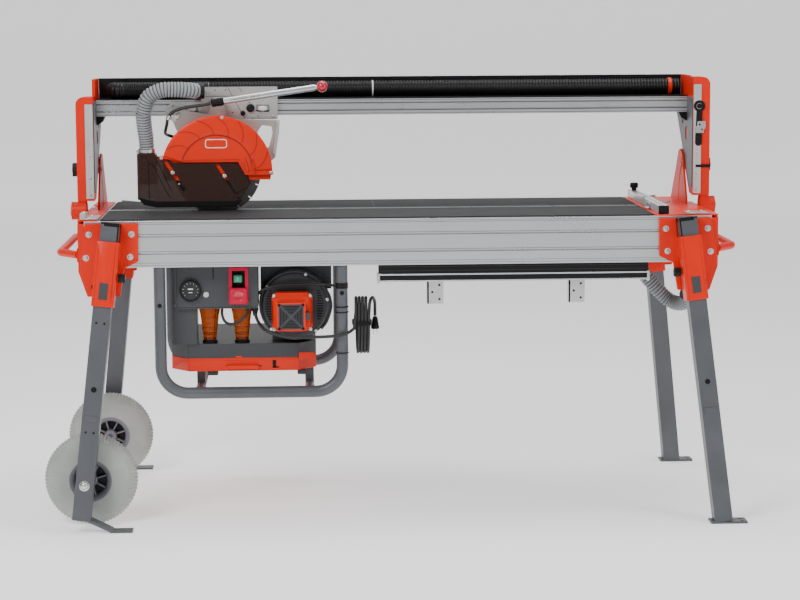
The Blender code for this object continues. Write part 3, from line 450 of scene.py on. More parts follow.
def even(fine, spacing):
    """The same route with its points at equal steps."""
    total = sum((b - a).length for a, b in zip(fine, fine[1:]))
    count = max(2, round(total / spacing))
    route, walked, number = [Vector(fine[0])], 0.0, 1
    for a, b in zip(fine, fine[1:]):
        step = (b - a).length
        while step and walked + step >= number * total / count and number < count:
            route.append(Vector(a).lerp(Vector(b), (number * total / count - walked) / step))
            number += 1
        walked += step
    route.append(Vector(fine[-1]))
    return route


def add_tube(shape, route, radius, sides=16, caps=True):
    """Sweep a circle; radius is a number or a function of distance."""
    route = [Vector(p) for p in route]
    rows, walked = [], 0.0
    side = None
    for i, point in enumerate(route):
        before = route[max(i - 1, 0)]
        after = route[min(i + 1, len(route) - 1)]
        heading = (after - before).normalized()
        if side is None:
            side = heading.orthogonal().normalized()
        side = (side - heading * side.dot(heading)).normalized()
        other = heading.cross(side)
        walked += (point - before).length
        size = radius(walked) if callable(radius) else radius
        rows.append([shape.verts.new(point + (side * math.cos(a) + other * math.sin(a)) * size)
                     for a in (2 * math.pi * k / sides for k in range(sides))])
    for low, high in zip(rows, rows[1:]):
        for k in range(sides):
            j = (k + 1) % sides
            shape.faces.new((low[k], low[j], high[j], high[k]))
    if caps:
        shape.faces.new(rows[0])
        shape.faces.new(rows[-1])


def tube(name, route, radius, material, body, sides=16):
    """A tube along a route."""
    shape = bmesh.new()
    add_tube(shape, route, radius, sides)
    return piece_from(name, shape, material, body, 50)


def corrugated(name, points, radius, pitch, depth, material, body, sides=28):
    """A ribbed hose: round crests and narrow valleys along the route."""
    route = smooth_route(points, pitch / 5)

    def size(distance):
        phase = (distance / pitch) % 1.0
        return radius - depth * (0.5 - 0.5 * math.cos(2 * math.pi * phase)) ** 2
    shape = bmesh.new()
    add_tube(shape, route, size, sides)
    return piece_from(name, shape, material, body, 60)


def kept(node, material, bevel=0.001, segments=2, smooth=40):
    """A CAD node that stays, with its edges eased."""
    piece = NODES[node]
    piece.data.materials.clear()
    piece.data.materials.append(material)
    weld = piece.modifiers.new("weld", "WELD")
    weld.merge_threshold = 0.00005
    if bevel:
        edge = piece.modifiers.new("edges", "BEVEL")
        edge.width = bevel
        edge.segments = segments
        edge.limit_method = "ANGLE"
        edge.angle_limit = math.radians(smooth)
    return piece


def screws(name, spots, direction, radius, material, body, socket=0.45, height=0.5):
    """Pan-head screws with a hexagon socket, at the given spots."""
    shape = bmesh.new()
    push = Vector(direction).normalized()
    for spot in spots:
        start = Vector(spot)
        tall = radius * height
        add_lathe(shape, start, start + push,
                  [(0, 0), (radius, 0), (radius, tall * 0.3), (radius * 0.86, tall * 0.75),
                   (radius * 0.6, tall), (radius * socket, tall), (radius * socket * 0.9, tall * 0.45),
                   (0, tall * 0.45)], 18)
    return piece_from(name, shape, material, body, 35)


# ------------------------------------------------------------ camera and stage
def place_camera():
    """A long-lens view from the front, a little left of the middle and above the table."""
    yaw, pitch, roll = 0.0457, 0.1296, -0.006
    right = Vector((math.cos(yaw), -math.sin(yaw), 0))
    level = Vector((math.sin(yaw), math.cos(yaw), 0))
    forward = level * math.cos(pitch) - Vector((0, 0, 1)) * math.sin(pitch)
    up = level * math.sin(pitch) + Vector((0, 0, 1)) * math.cos(pitch)
    across = right * math.cos(roll) + up * math.sin(roll)
    upright = up * math.cos(roll) - right * math.sin(roll)
    turn = Matrix((across, upright, -forward)).transposed().to_4x4()
    data = bpy.data.cameras.new("camera")
    data.lens = 98.1
    data.sensor_width = 36.0
    camera = bpy.data.objects.new("camera", data)
    camera.matrix_world = Matrix.Translation(Vector((-0.2771, -6.3409, 1.4068)) + SHIFT) @ turn
    bpy.context.scene.collection.objects.link(camera)
    bpy.context.scene.camera = camera


def area_light(name, place, target, size, power, colour=(1, 1, 1)):
    """A rectangular light that looks at a point."""
    data = bpy.data.lights.new(name, "AREA")
    data.shape = "RECTANGLE"
    data.size, data.size_y = size
    data.energy = power
    data.color = colour
    light = bpy.data.objects.new(name, data)
    aim = (Vector(target) - Vector(place)).to_track_quat("-Z", "Y")
    light.matrix_world = Matrix.Translation(place) @ aim.to_matrix().to_4x4()
    bpy.context.scene.collection.objects.link(light)


def build_stage():
    """A white floor that curves up far behind, and big soft lights."""
    shape = bmesh.new()
    reach, wall, bend, back = 16.0, 8.0, 3.0, 11.0
    profile = [(-reach, 0.0), (back, 0.0)]
    profile += [(back + bend * math.sin(math.radians(a)), bend - bend * math.cos(math.radians(a)))
                for a in range(10, 91, 10)]
    profile.append((back + bend, wall))
    rows = [[shape.verts.new((x, y, z)) for x in (-reach, reach)] for y, z in profile]
    for low, high in zip(rows, rows[1:]):
        shape.faces.new((low[0], low[1], high[1], high[0]))
    data = bpy.data.meshes.new("floor")
    shape.to_mesh(data)
    shape.free()
    data.shade_smooth()
    floor = bpy.data.objects.new("floor", data)
    bpy.context.scene.collection.objects.link(floor)
    white, _, shader = shader_of("studio floor", (0.94, 0.94, 0.94), 0.75)
    shader.inputs["Specular IOR Level"].default_value = 0.15
    shader.inputs["Emission Color"].default_value = (1, 1, 1, 1)
    shader.inputs["Emission Strength"].default_value = 0.55
    data.materials.append(white)
    build_sky()
    area_light("key", (-2.4, -3.2, 3.4), (0, 0, 0.7), (1.6, 1.6), 120)
    area_light("fill", (3.4, -2.8, 2.0), (0, 0, 0.7), (1.2, 2.0), 45)
    area_light("top", (0.2, 0.3, 4.0), (0, 0, 0.8), (3.2, 1.4), 90)


def build_sky():
    """Soft studio surroundings: bright above, dimmer round the horizon."""
    world = bpy.data.worlds.new("studio")
    world.use_nodes = True
    tree = world.node_tree
    place = tree.nodes.new("ShaderNodeTexCoord")
    split = tree.nodes.new("ShaderNodeSeparateXYZ")
    tree.links.new(place.outputs["Generated"], split.inputs["Vector"])
    shade = ramp(tree, split.outputs["Z"], [(0.0, grey(0.3)), (0.12, grey(0.16)), (0.3, grey(0.55)),
                                            (0.45, grey(0.95)), (0.8, grey(0.6))])
    background = tree.nodes["Background"]
    tree.links.new(shade, background.inputs["Color"])
    background.inputs["Strength"].default_value = 0.62
    bpy.context.scene.world = world


# ------------------------------------------------------------ mains lead
def lead_points():
    """From the gland to the hank: the route that the lead's own solid follows."""
    return smooth_route([(-0.4075, -0.2285, 0.59), (-0.407, -0.23, 0.578), (-0.3985, -0.252, 0.556),
                         (-0.372, -0.29, 0.533), (-0.32, -0.301, 0.52), (-0.25, -0.304, 0.5175),
                         (-0.19, -0.3085, 0.52), (-0.15, -0.31, 0.528), (-0.13, -0.3005, 0.54)], 0.014)


def hank_points():
    """Four turns round two straight runs, then over the top to the plug."""
    turns, run, bend, gap = 4, 0.05, 0.0275, 0.00925
    y, z, left = -0.262, 0.545, -0.1255
    straight, curve = 2 * run, math.pi * bend
    lap = 2 * straight + 2 * curve
    points = []
    steps = 20
    for i in range(2, turns * steps + 1):
        walked = (i / steps * lap + straight / 2) % lap
        across = left + gap * i / steps
        if walked < straight:
            spot = (across, y - bend, z - run + walked)
        elif walked < straight + curve:
            turn = (walked - straight) / bend
            spot = (across, y - bend * math.cos(turn), z + run + bend * math.sin(turn))
        elif walked < 2 * straight + curve:
            spot = (across, y + bend, z + run - (walked - straight - curve))
        else:
            turn = (walked - 2 * straight - curve) / bend
            spot = (across, y + bend * math.cos(turn), z - run - bend * math.sin(turn))
        points.append(Vector(spot))
    right = left + gap * turns
    tail = [(right + 0.0005, y - bend, z + 0.028), (right + 0.002, y - bend, z + run)]
    start, end = tail[-1], (-0.069, y + 0.024, z + run)
    radius = math.dist(start, end) / 2
    for turn in range(15, 180, 15):
        angle = math.radians(turn)
        part = (1 - math.cos(angle)) / 2
        tail.append((start[0] + (end[0] - start[0]) * part, start[1] + (end[1] - start[1]) * part,
                     z + run + radius * math.sin(angle)))
    tail += [end, (end[0], end[1], z + 0.036), (end[0], end[1], z + 0.022)]
    return points + [Vector(p) for p in tail]


def build_lead():
    """The supply lead, one curve from the control box to its plug."""
    route = lead_points()[:-1] + smooth_route([(-0.13, -0.3005, 0.54), hank_points()[0]], 0.01)[:-1]
    route += hank_points()
    data = bpy.data.curves.new("mains_cord", "CURVE")
    data.dimensions = "3D"
    data.bevel_depth = 0.0045
    data.bevel_resolution = 4
    data.use_fill_caps = True
    spline = data.splines.new("POLY")
    spline.points.add(len(route) - 1)
    for point, place in zip(spline.points, route):
        point.co = (*place, 1.0)
    cord = bpy.data.objects.new("mains_cord", data)
    bpy.context.scene.collection.objects.link(cord)
    data.materials.append(CORD)
    cord.location = SHIFT
    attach(cord, "table")
    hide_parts("mains_lead", "mains_hank")
    plug = build_plug()


def build_plug():
    """A moulded plug: ribbed grip, wide shoulder and two flat blades."""
    top, shoulder = Vector((-0.069, -0.238, 0.5652)), 0.032
    profile = [(0, 0), (0.0052, 0), (0.006, 0.002)]
    for rib in range(5):
        start = 0.003 + rib * 0.004
        profile += [(0.0062 + rib * 0.0006, start), (0.0082 + rib * 0.0007, start + 0.0012),
                    (0.0082 + rib * 0.0007, start + 0.0028), (0.0062 + rib * 0.0006, start + 0.0036)]
    profile += [(0.0112, 0.0245), (0.0118, shoulder - 0.005), (0.0118, shoulder + 0.002),
                (0.0105, shoulder + 0.0035), (0, shoulder + 0.0035)]
    plug = lathe("plug_body", top, top - Vector((0, 0, 1)), profile, BLACK, "table")
    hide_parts("mains_plug")
    blades = [((x - 0.0009, -0.2412, 0.5156), (x + 0.0009, -0.2348, 0.5296)) for x in (-0.0742, -0.0638)]
    prongs = boxes("plug_blades", blades, ZINC, "table", 0.0004)
    relief = lathe("lead_gland", (-0.4075, -0.2285, 0.5915), (-0.4073, -0.229, 0.575),
                   [(0, 0), (0.0105, 0), (0.0105, 0.005), (0.0092, 0.006), (0.0082, 0.009),
                    (0.0076, 0.01), (0.0076, 0.012), (0.0068, 0.013), (0.0068, 0.016),
                    (0.006, 0.017), (0.006, 0.02), (0.0053, 0.022), (0, 0.022)], BLACK, "table")
    return plug


# ------------------------------------------------------------ head
HUB = (BLADE.x, BLADE.z)
COVER_FACE = -0.052
STUDS = ((-0.642, 0.963), (-0.493, 0.952))


def ribbon(points, width):
    """The outline of a line with a width, tapered at its far end."""
    points = [Vector(p) for p in points]
    sides = ([], [])
    for i, point in enumerate(points):
        heading = (points[min(i + 1, len(points) - 1)] - points[max(i - 1, 0)]).normalized()
        across = Vector((-heading.y, heading.x)) * width / 2
        sides[0].append(tuple(point + across))
        sides[1].append(tuple(point - across))
    return sides[0] + sides[1][::-1]


def arc_line(centre, radius, first, last, steps=10):
    """Evenly spaced points round a centre, between two angles."""
    return [(centre[0] + radius * math.cos(math.radians(first + (last - first) * i / steps)),
             centre[1] + radius * math.sin(math.radians(first + (last - first) * i / steps)))
            for i in range(steps + 1)]


def build_guard():
    """The guard: a hollow body, a domed cover with a fan of grooves and a flat middle panel."""
    body = kept("blade_guard", ORANGE_PLASTIC, 0.0012)
    body.data.materials[0] = ORANGE_PLASTIC
    shape = bmesh.new()
    rings = [(0.1585, 0.0), (0.159, -0.001), (0.156, -0.0022), (0.148, -0.003),
             (0.118, -0.0033), (0.106, -0.003), (0.104, -0.0018)]
    rows = []
    for radius, rise in rings:
        rows.append([shape.verts.new((x, COVER_FACE + rise + 0.0009, z))
                     for x, z in arc(HUB, radius, 1, 164, 96)])
    for low, high in zip(rows, rows[1:]):
        for i in range(len(low) - 1):
            shape.faces.new((low[i], low[i + 1], high[i + 1], high[i]))
    rim = piece_from("guard_rim", shape, ORANGE_PLASTIC, "head", 30)
    thicken(rim, 0.0012)
    panel = [(-0.6185, 0.9975)] + arc(HUB, 0.1025, 160, 18, 50) + [(-0.417, 0.97), (-0.431, 0.962)]
    panel += [(-0.448, 0.999), (-0.456, 1.001)]
    face = plate("guard_panel", "Y", COVER_FACE - 0.003, COVER_FACE, round_corners(panel, 0.006),
                 ORANGE_PLASTIC, "head", bevel=0.0012)
    build_guard_grooves()
    build_guard_badge()


def thicken(piece, depth):
    """Give an open sheet a thickness, ahead of its other modifiers."""
    wall = piece.modifiers.new("wall", "SOLIDIFY")
    wall.thickness = depth
    wall.offset = -1


def build_guard_grooves():
    """Seven curved pressings from the rim to the panel, and three round the lower right, drawn as darker
    orange bands of painted shade.
    """
    lines = []
    for start in (155, 134, 111, 89, 66, 43, 21):
        line = []
        for i in range(13):
            t = i / 12
            radius = 0.157 + (0.1065 - 0.157) * t
            angle = math.radians(start - 17 * math.sin(t * math.pi / 2) + (4 if start > 140 else 0) * t)
            line.append((HUB[0] + radius * math.cos(angle), HUB[1] + radius * math.sin(angle)))
        lines.append((line, 0.0014))
    lines.append((arc_line(HUB, 0.1045, 158, 14, 60), 0.0018))
    lines.append((arc_line((HUB[0] - 0.002, HUB[1] - 0.004), 0.0935, 27, 3, 14), 0.0022))
    lines.append((arc_line((HUB[0] - 0.002, HUB[1] - 0.004), 0.113, 20, -4, 14), 0.0022))
    lines.append((arc_line((HUB[0] - 0.002, HUB[1] - 0.004), 0.085, 22, 6, 10), 0.0016))
    for number, (line, width) in enumerate(lines):
        height = COVER_FACE - (0.0036 if number < 8 else 0.0034)
        groove = plate(f"guard_groove_{number}", "Y", height, height + 0.0012, ribbon(line, width),
                       GROOVE_SHADE, "head", bevel=0.0)


def build_guard_badge():
    """A blank rounded plate outline, and the three bolts of the cover."""
    low, high = (-0.5475, 1.033), (-0.4845, 1.059)
    inner = soft_rectangle((low[0] + 0.0025, low[1] + 0.0025), (high[0] - 0.0025, high[1] - 0.0025), 0.0055)
    badge = plate("guard_badge", "Y", COVER_FACE - 0.0036, COVER_FACE - 0.0026,
                  soft_rectangle(low, high, 0.008), WHITE, "head", [inner], 0.0002)
    bolts = []
    for x, z, face in ((-0.6735, 1.006, -0.0525), (-0.498, 1.12, -0.0525), (-0.36, 0.961, -0.0525)):
        bolts.append((x, face, z))
        ear = lathe(f"guard_ear_{len(bolts)}", (x, -0.0468, z), (x, -0.0525, z),
                    rounded_rod(0.0072, 0.006, 0.0015), ORANGE_PLASTIC, "head", 24)
    heads = screws("guard_bolts", bolts, (0, -1, 0), 0.005, ZINC, "head")


def build_shroud():
    """The smoked shroud's own sheet, with a dark foot, seams and zinc screws in its slots."""
    kept("blade_shroud", SMOKE, 0.0007)
    face = -0.0461
    foot = [(-0.7415, 0.893), (-0.7405, 0.8875), (-0.725, 0.8712), (-0.69, 0.864), (-0.4625, 0.864),
            (-0.446, 0.8805), (-0.4482, 0.8865), (-0.464, 0.88), (-0.69, 0.88), (-0.719, 0.886)]
    edge = plate("shroud_foot", "Y", face - 0.0012, face, round_corners(foot, 0.004), BLACK, "shroud",
                 bevel=0.0004)
    seams = [[(-0.738, 1.012), (-0.718, 1.008), (-0.712, 0.998), (-0.71, 0.89)],
             [(-0.703, 0.998), (-0.66, 0.905), (-0.648, 0.89)], [(-0.686, 0.996), (-0.647, 0.91)],
             [(-0.448, 0.89), (-0.42, 0.93), (-0.433, 0.96)], [(-0.462, 0.898), (-0.437, 0.918)]]
    for number, seam in enumerate(seams):
        line = plate(f"shroud_seam_{number}", "Y", face - 0.0008, face, ribbon(seam, 0.0018), BLACK,
                     "shroud", bevel=0.0)
    spots = [(-0.706, face, 0.99), (-0.697, face, 0.981), (-0.456, face, 0.89)]
    dots = screws("shroud_rivets", spots, (0, -1, 0), 0.003, BLACK, "shroud", 0.3)
    studs = [(x, -0.0497, z) for x, z in STUDS]
    heads = screws("guard_stud_screws", studs, (0, -1, 0), 0.0064, ZINC, "head", 0.35, 0.42)
    clamp = lathe("shroud_clamp", (-0.7175, -0.0125, 1.0188), (-0.7175, -0.0125, 1.029),
                  [(0.0238, 0), (0.0246, 0.0006), (0.0246, 0.0094), (0.0238, 0.01), (0.0238, 0)],
                  ZINC, "shroud", 40)
    worm = boxes("shroud_clamp_screw", [((-0.748, -0.02, 1.0195), (-0.7405, -0.005, 1.0285))],
                 ZINC, "shroud", 0.001)


def build_blade():
    """The diamond blade: a slotted rim, a core and its flange."""
    outline = []
    teeth, radius = 18, 0.1265
    for tooth in range(teeth):
        start = 360 / teeth * tooth
        outline += arc(HUB, radius, start, start + 360 / teeth - 1.4, 6)
        mid = math.radians(start + 360 / teeth - 0.7)
        for side, deep in ((-0.0012, 0.1265), (-0.0012, 0.117), (0.0012, 0.117), (0.0012, 0.1265)):
            outline.append((HUB[0] + deep * math.cos(mid) - side * math.sin(mid),
                            HUB[1] + deep * math.sin(mid) + side * math.cos(mid)))
    core = plate("blade_disc", "Y", -0.001, 0.001, outline, STEEL, "blade", [arc(HUB, 0.0125)], 0.0)
    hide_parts("saw_blade")
    for name, y, push in (("blade_flange", -0.001, -1), ("blade_flange_back", 0.001, 1)):
        flange = lathe(name, (HUB[0], y, HUB[1]), (HUB[0], y + push, HUB[1]),
                       [(0, 0), (0.026, 0), (0.026, 0.002), (0.024, 0.003), (0.012, 0.003), (0.011, 0.004),
                        (0.011, 0.012), (0.01, 0.013), (0, 0.013)], ZINC, "blade")


def build_motor():
    """The motor's finned shell, gearcase and vented cap, behind the arm."""
    x, z = HUB[0], 1.022
    profile = [(0, 0), (0.046, 0), (0.0485, 0.002)]
    for rib in range(9):
        start = 0.004 + rib * 0.0055
        profile += [(0.0498, start), (0.0498, start + 0.003), (0.0468, start + 0.0034),
                    (0.0468, start + 0.0052)]
    profile += [(0.0498, 0.054), (0.047, 0.0625), (0.0415, 0.0725), (0.03, 0.0728), (0, 0.0728)]
    shell = lathe("motor_shell", (x, 0.0334, z), (x, 0.12, z), profile, BLACK, "head", 48)
    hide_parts("saw_motor")
    gear = lathe("motor_gear_housing", (x, 0.0334, HUB[1]), (x, 0.1, HUB[1]),
                 [(0, 0), (0.03, 0), (0.03, 0.018), (0.027, 0.0213), (0, 0.0213)], CAST, "head")
    vents = [((x - 0.03 + i * 0.01, 0.1052, z - 0.024), (x - 0.0255 + i * 0.01, 0.1066, z + 0.024))
             for i in range(7)]
    slats = boxes("motor_vents", [((a[0], 0.1055, a[2]), (b[0], 0.1062, b[2])) for a, b in vents],
                  SLATE_PLASTIC, "head", 0.0002)


def build_arm():
    """The pivot casting, its grip rim and the stub that carries the lever."""
    kept("head_arm", CAST, 0.0012)
    rim = [(-0.347, 1.004), (-0.3375, 1.07), (-0.335, 1.104), (-0.344, 1.106), (-0.3475, 1.07),
           (-0.356, 1.012)]
    edge = plate("grip_rim", "Y", 0.0205, 0.0245, round_corners(rim, 0.003), ALUMINIUM, "head",
                 bevel=0.0012)
    boss = lathe("pivot_boss", (-0.632, 0.0244, 1.125), (-0.632, 0.0, 1.125),
                 [(0, 0), (0.012, 0), (0.012, 0.002), (0.0095, 0.003), (0, 0.003)], ZINC, "head")


def build_lever():
    """The plunge lever: a bright tube, a ribbed black sleeve and a red ball."""
    start, end = Vector((-0.528, -0.0655, 1.1625)), Vector((-0.222, -0.0655, 1.206))
    step = (end - start).normalized()
    bar = lathe("lever_tube", start + step * 0.03, end, [(0, 0), (0.0092, 0), (0.0092, 0.268),
                (0.0078, 0.272), (0.0062, 0.276), (0.0062, 0.279), (0, 0.279)], ALUMINIUM, "head", 32)
    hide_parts("handle_lever")
    profile = [(0, 0), (0.0085, 0), (0.01, 0.002)]
    for rib in range(5):
        at = 0.003 + rib * 0.0062
        profile += [(0.0124, at), (0.0124, at + 0.0036), (0.011, at + 0.0042), (0.011, at + 0.0056)]
    profile += [(0.0122, 0.0345), (0.0104, 0.0365), (0.0092, 0.037)]
    sleeve = lathe("lever_sleeve", start, end, [*profile, (0, 0.037)], BLACK, "head", 32)
    ball_end = end + step * 0.012
    ball = lathe("lever_ball", ball_end - step * 0.016, ball_end,
                 [(0.0163 * math.sin(math.radians(a)), 0.0163 - 0.0163 * math.cos(math.radians(a)))
                  for a in range(0, 181, 10)], RED, "head", 32)
    print_lines = []
    across = Vector((0, -1, 0))
    for first, last in ((0.055, 0.105), (0.112, 0.128), (0.133, 0.14)):
        a, b = start + step * first + across * 0.0089, start + step * last + across * 0.0089
        print_lines.append((a, b))
    shape = bmesh.new()
    for a, b in print_lines:
        add_tube(shape, [a, b], 0.0011, 8)
    marks = piece_from("lever_marks", shape, DARK_PRINT_AND_SHADE, "head", 30)


DUST_ROUTE = [(-0.7175, -0.0125, 1.032), (-0.7185, -0.0145, 1.058), (-0.722, -0.026, 1.095),
              (-0.724, -0.043, 1.135), (-0.708, -0.055, 1.178), (-0.672, -0.06, 1.199),
              (-0.63, -0.057, 1.2015), (-0.598, -0.05, 1.1995), (-0.579, -0.038, 1.197),
              (-0.5722, -0.0225, 1.195)]
CABLE_ROUTE = [(-0.53, -0.0655, 1.1615), (-0.56, -0.064, 1.156), (-0.6, -0.058, 1.15),
               (-0.634, -0.057, 1.14), (-0.651, -0.057, 1.122), (-0.656, -0.05, 1.102),
               (-0.661, -0.03, 1.085), (-0.664, 0.0, 1.075), (-0.661, 0.034, 1.068),
               (-0.641, 0.052, 1.06), (-0.602, 0.056, 1.048), (-0.569, 0.056, 1.035)]


def free_piece(name, points, radius, pitch, depth, material):
    """A ribbed hose with no body, for a piece that bends between two."""
    if pitch:
        hose = corrugated(name, points, radius, pitch, depth, material, None)
    else:
        hose = tube(name, smooth_route(points, 0.006), radius, material, None, 24)
    hose.data.transform(Matrix.Translation(SHIFT))
    hose.location = (0, 0, 0)
    return hose


def build_head_hoses():
    """The grey dust hose as two pieces on no body (the real hose bends as the head plunges), and the
    motor's cable.
    """
    split = DUST_ROUTE[3]
    sections = {"foot": (DUST_ROUTE[:4], "shroud", "head", DUST_ROUTE[0], split),
                "bend": (DUST_ROUTE[3:], "head", "carriage", (-0.72, -0.04, 1.15), (-0.6, -0.052, 1.199))}
    for part, (route, near, far, start, end) in sections.items():
        hose = free_piece(f"dust_hose_{part}", route, 0.0226, 0.0088, 0.0042, GREY_HOSE)
        # A dark inner tube whose colour is painted shade in the hose's valleys.
        valley_shade = free_piece(f"dust_hose_{part}_liner", route, 0.0198, 0, 0, VALLEY_SHADE)
        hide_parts("dust_hose")
        for layer in (hose, valley_shade):
            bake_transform(layer)
    cuff = lathe("dust_hose_cuff", (-0.583, -0.0245, 1.195), (-0.548, -0.0245, 1.195),
                 [(0, 0), (0.0205, 0), (0.0215, 0.002), (0.0215, 0.033), (0.02, 0.035), (0, 0.035)],
                 BLACK, "carriage", 40)
    cable = tube("motor_flex", smooth_route(CABLE_ROUTE, 0.006), 0.0046, CORD, "head")
    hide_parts("motor_cable")
    route = smooth_route(CABLE_ROUTE, 0.006)
    at = min(range(len(route)), key=lambda i: (route[i] - Vector((-0.65, -0.057, 1.124))).length)
    clip = tube("cable_clip", [route[at - 1], route[at], route[at + 1]], 0.0062, ZINC, "head", 20)
    ear = boxes("cable_clip_ear", [((-0.642, -0.06, 1.112), (-0.63, -0.0575, 1.128))], ZINC, "head", 0.0006)


def build_head():
    """Everything that swings with the blade arm."""
    build_guard()
    build_shroud()
    build_blade()
    build_motor()
    build_arm()
    build_lever()
    build_head_hoses()


# ------------------------------------------------------------ bridge
def rope(name, points, body, radius, material, pitch, depth, node=None):
    """A ribbed hose along a route, standing for a node."""
    hose = corrugated(name, points, radius, pitch, depth, material, body)
    if node:
        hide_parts(node)
    return hose


def bar_of(name, x_low, x_high, outline, material, body, bevel=0.0005):
    """A long straight section along X."""
    piece = plate(name, "X", x_low, x_high, outline, material, body, bevel=bevel)
    return piece


def build_rail():
    """The rail keeps its CAD section; its face gets lines, and the hose tray, its clips and two gussets go
    on.
    """
    kept("bridge_beam", ALUMINIUM, 0.0008)
    front = RAIL_LOW.y
    # Slate lines on the rail face: painted shade in the grooves of the drawn section.
    lines = [((-0.866, front - 0.0006, z), (0.866, front + 0.0004, z + height))
             for z, height in ((1.1245, 0.0012), (1.133, 0.0026), (1.1545, 0.0026), (1.163, 0.0012))]
    seams = boxes("rail_groove_shade", lines, SLATE, "bridge", 0.0)
    kept("hose_tray", BLACK, 0.0008)
    clips = []
    for i in range(13):
        x = -0.8 + i * 0.13
        clips.append(((x, 0.17, 1.2265), (x + 0.014, 0.1822, 1.2288)))
    caps = boxes("tray_clips", clips, SLATE_PLASTIC, "bridge", 0.0006)
    for x in (-1, 1):
        # Black stands for painted shade: the grey plate under each rail end hangs in the rail's shadow.
        gusset = plate("shaded_rail_gusset_" + ("left" if x < 0 else "right"), "Y", 0.064, 0.108,
                       [(x * 0.868, 1.1208), (x * 0.842, 1.1208), (x * 0.8505, 1.104), (x * 0.868, 1.094)],
                       BLACK, "bridge")


HOSE_HIGH = 1.1945  # the height of both hoses in the tray
DUCT_BACK = 0.152  # the fixed run lies behind
DUCT_FRONT = 0.0915  # the run that stretches lies in front
ELBOW_HIGH = 1.195  # where the dust hose meets the carriage
CRADLE_SIDE = 0.283  # half the distance between the cradle's two bent tubes


def build_bridge_hoses():
    """The black duct along the tray with its U turn, and the part that stretches."""
    far_left, between, turn_radius, hose_radius = -0.79, 0.12175, 0.03025, 0.0233
    straight = even([Vector((x, DUCT_BACK, HOSE_HIGH)) for x in (0.855, 0.6, 0.2, -0.3, -0.7, far_left)],
                    0.05)
    bend = [Vector((far_left - turn_radius * math.sin(a), between + turn_radius * math.cos(a), HOSE_HIGH))
            for a in (math.pi * i / 8 for i in range(1, 9))]
    rope("duct_run", [*straight, *bend, Vector((-0.786, DUCT_FRONT, HOSE_HIGH))], "bridge", hose_radius,
         BLACK_HOSE, 0.009, 0.0026, "bridge_duct_hose")
    stretch = free_piece("stretch_run", [(x, DUCT_FRONT, HOSE_HIGH) for x in (-0.7837, -0.74, -0.69, -0.6)],
                         hose_radius, 0.0062, 0.003, BLACK_HOSE)
    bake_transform(stretch)
    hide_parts("stretch_hose")
    clamp = lathe("duct_clamp", (0.822, DUCT_BACK, HOSE_HIGH), (0.834, DUCT_BACK, HOSE_HIGH),
                  [(0.0236, 0), (0.0252, 0.001), (0.0252, 0.011), (0.0236, 0.012), (0.0236, 0)],
                  ORANGE_PLASTIC, "bridge", 40)
    tie = lathe("duct_tie", (-0.06, DUCT_BACK, HOSE_HIGH), (-0.05, DUCT_BACK, HOSE_HIGH),
                [(0.0234, 0), (0.024, 0.0005), (0.024, 0.0035), (0.0234, 0.004), (0.0234, 0)],
                WHITE, "bridge", 40)


def build_uprights():
    """Each upright keeps its casting; a drawn strip, a slate fin and bolts go on it."""
    for side, x in (("left", -1), ("right", 1)):
        name = f"upright_{side}"
        kept(name, ORANGE, 0.0016)
        top = 1.16 if x < 0 else 1.205
        low, high = sorted((x * 0.869, x * 0.892))
        strip = plate(f"{name}_strip", "Y", -0.033, -0.0302,
                      soft_rectangle((low, 0.888), (high, top), 0.003), POST_METAL, "bridge", bevel=0.0006)
        edge = [((low + high) / 2 + k * 0.0102 - 0.0006, (low + high) / 2 + k * 0.0102 + 0.0006)
                for k in (-1, -0.15, 1)]
        lips = boxes(f"{name}_lips", [((a, -0.0338, 0.891), (b, -0.0328, top - 0.003)) for a, b in edge],
                     ALUMINIUM, "bridge", 0.0)
        low, high = sorted((x * 0.8665, x * 0.8684))
        fin = [(-0.026, 0.905), (0.022, 0.9055), (0.082, 0.966), (0.1, 0.988), (0.152, 1.034),
               (0.238, 1.118), (0.176, 1.16), (0.058, 1.166), (-0.026, 1.166)]
        plate_hole = [arc((0.07, 1.06), 0.02), arc((0.13, 1.1), 0.016)]
        skin = plate(f"{name}_side", "X", low, high, round_corners(fin, 0.008), SLATE, "bridge",
                     plate_hole, 0.0005)
        spots = [(x * 0.8805, -0.033, z) for z in (0.9, 0.948, 1.01)]
        bolts = screws(f"{name}_bolts", spots, (0, -1, 0), 0.0048, ZINC, "bridge")
        flange = lathe(f"{name}_flange", (x * 0.8936, 0, TABLE_TOP), (x * 0.95, 0, TABLE_TOP),
                       [(0.0255, 0.0), (0.0285, 0.0005), (0.0285, 0.005), (0.0255, 0.006), (0.0255, 0.0)],
                       ORANGE, "bridge", 48)
        rings = lathe(f"{name}_hub", (x * 0.9383, 0, TABLE_TOP), (x * 0.95, 0, TABLE_TOP),
                      [(0, 0), (0.0165, 0), (0.0165, 0.002), (0.009, 0.0032), (0.009, 0.0048), (0, 0.0048)],
                      ZINC, "bridge")
        build_tilt_knob(side, x)
    build_right_fittings()


def build_tilt_knob(side, x):
    """A lobed clamping knob on its stud."""
    low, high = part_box(f"tilt_knob_{side}")
    y, z = (low.y + high.y) / 2, (low.z + high.z) / 2
    outline = []
    for i in range(60):
        a = 2 * math.pi * i / 60
        size = 0.0198 + 0.002 * math.cos(6 * a)
        outline.append((y + size * math.cos(a), z + size * math.sin(a)))
    near, far = sorted((x * 0.925, x * 0.9438))
    grip = plate(f"tilt_grip_{side}", "X", near, far, outline, BLACK, f"knob_{side}", bevel=0.0015)
    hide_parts(f"tilt_knob_{side}")
    stud = rod(f"tilt_stud_{side}", (x * 0.8562, y, z), (x * 0.9255, y, z), 0.004, ZINC, f"knob_{side}")
    collar = rod(f"tilt_collar_{side}", (x * 0.9205, y, z), (x * 0.9255, y, z), 0.012, BLACK,
                 f"knob_{side}")


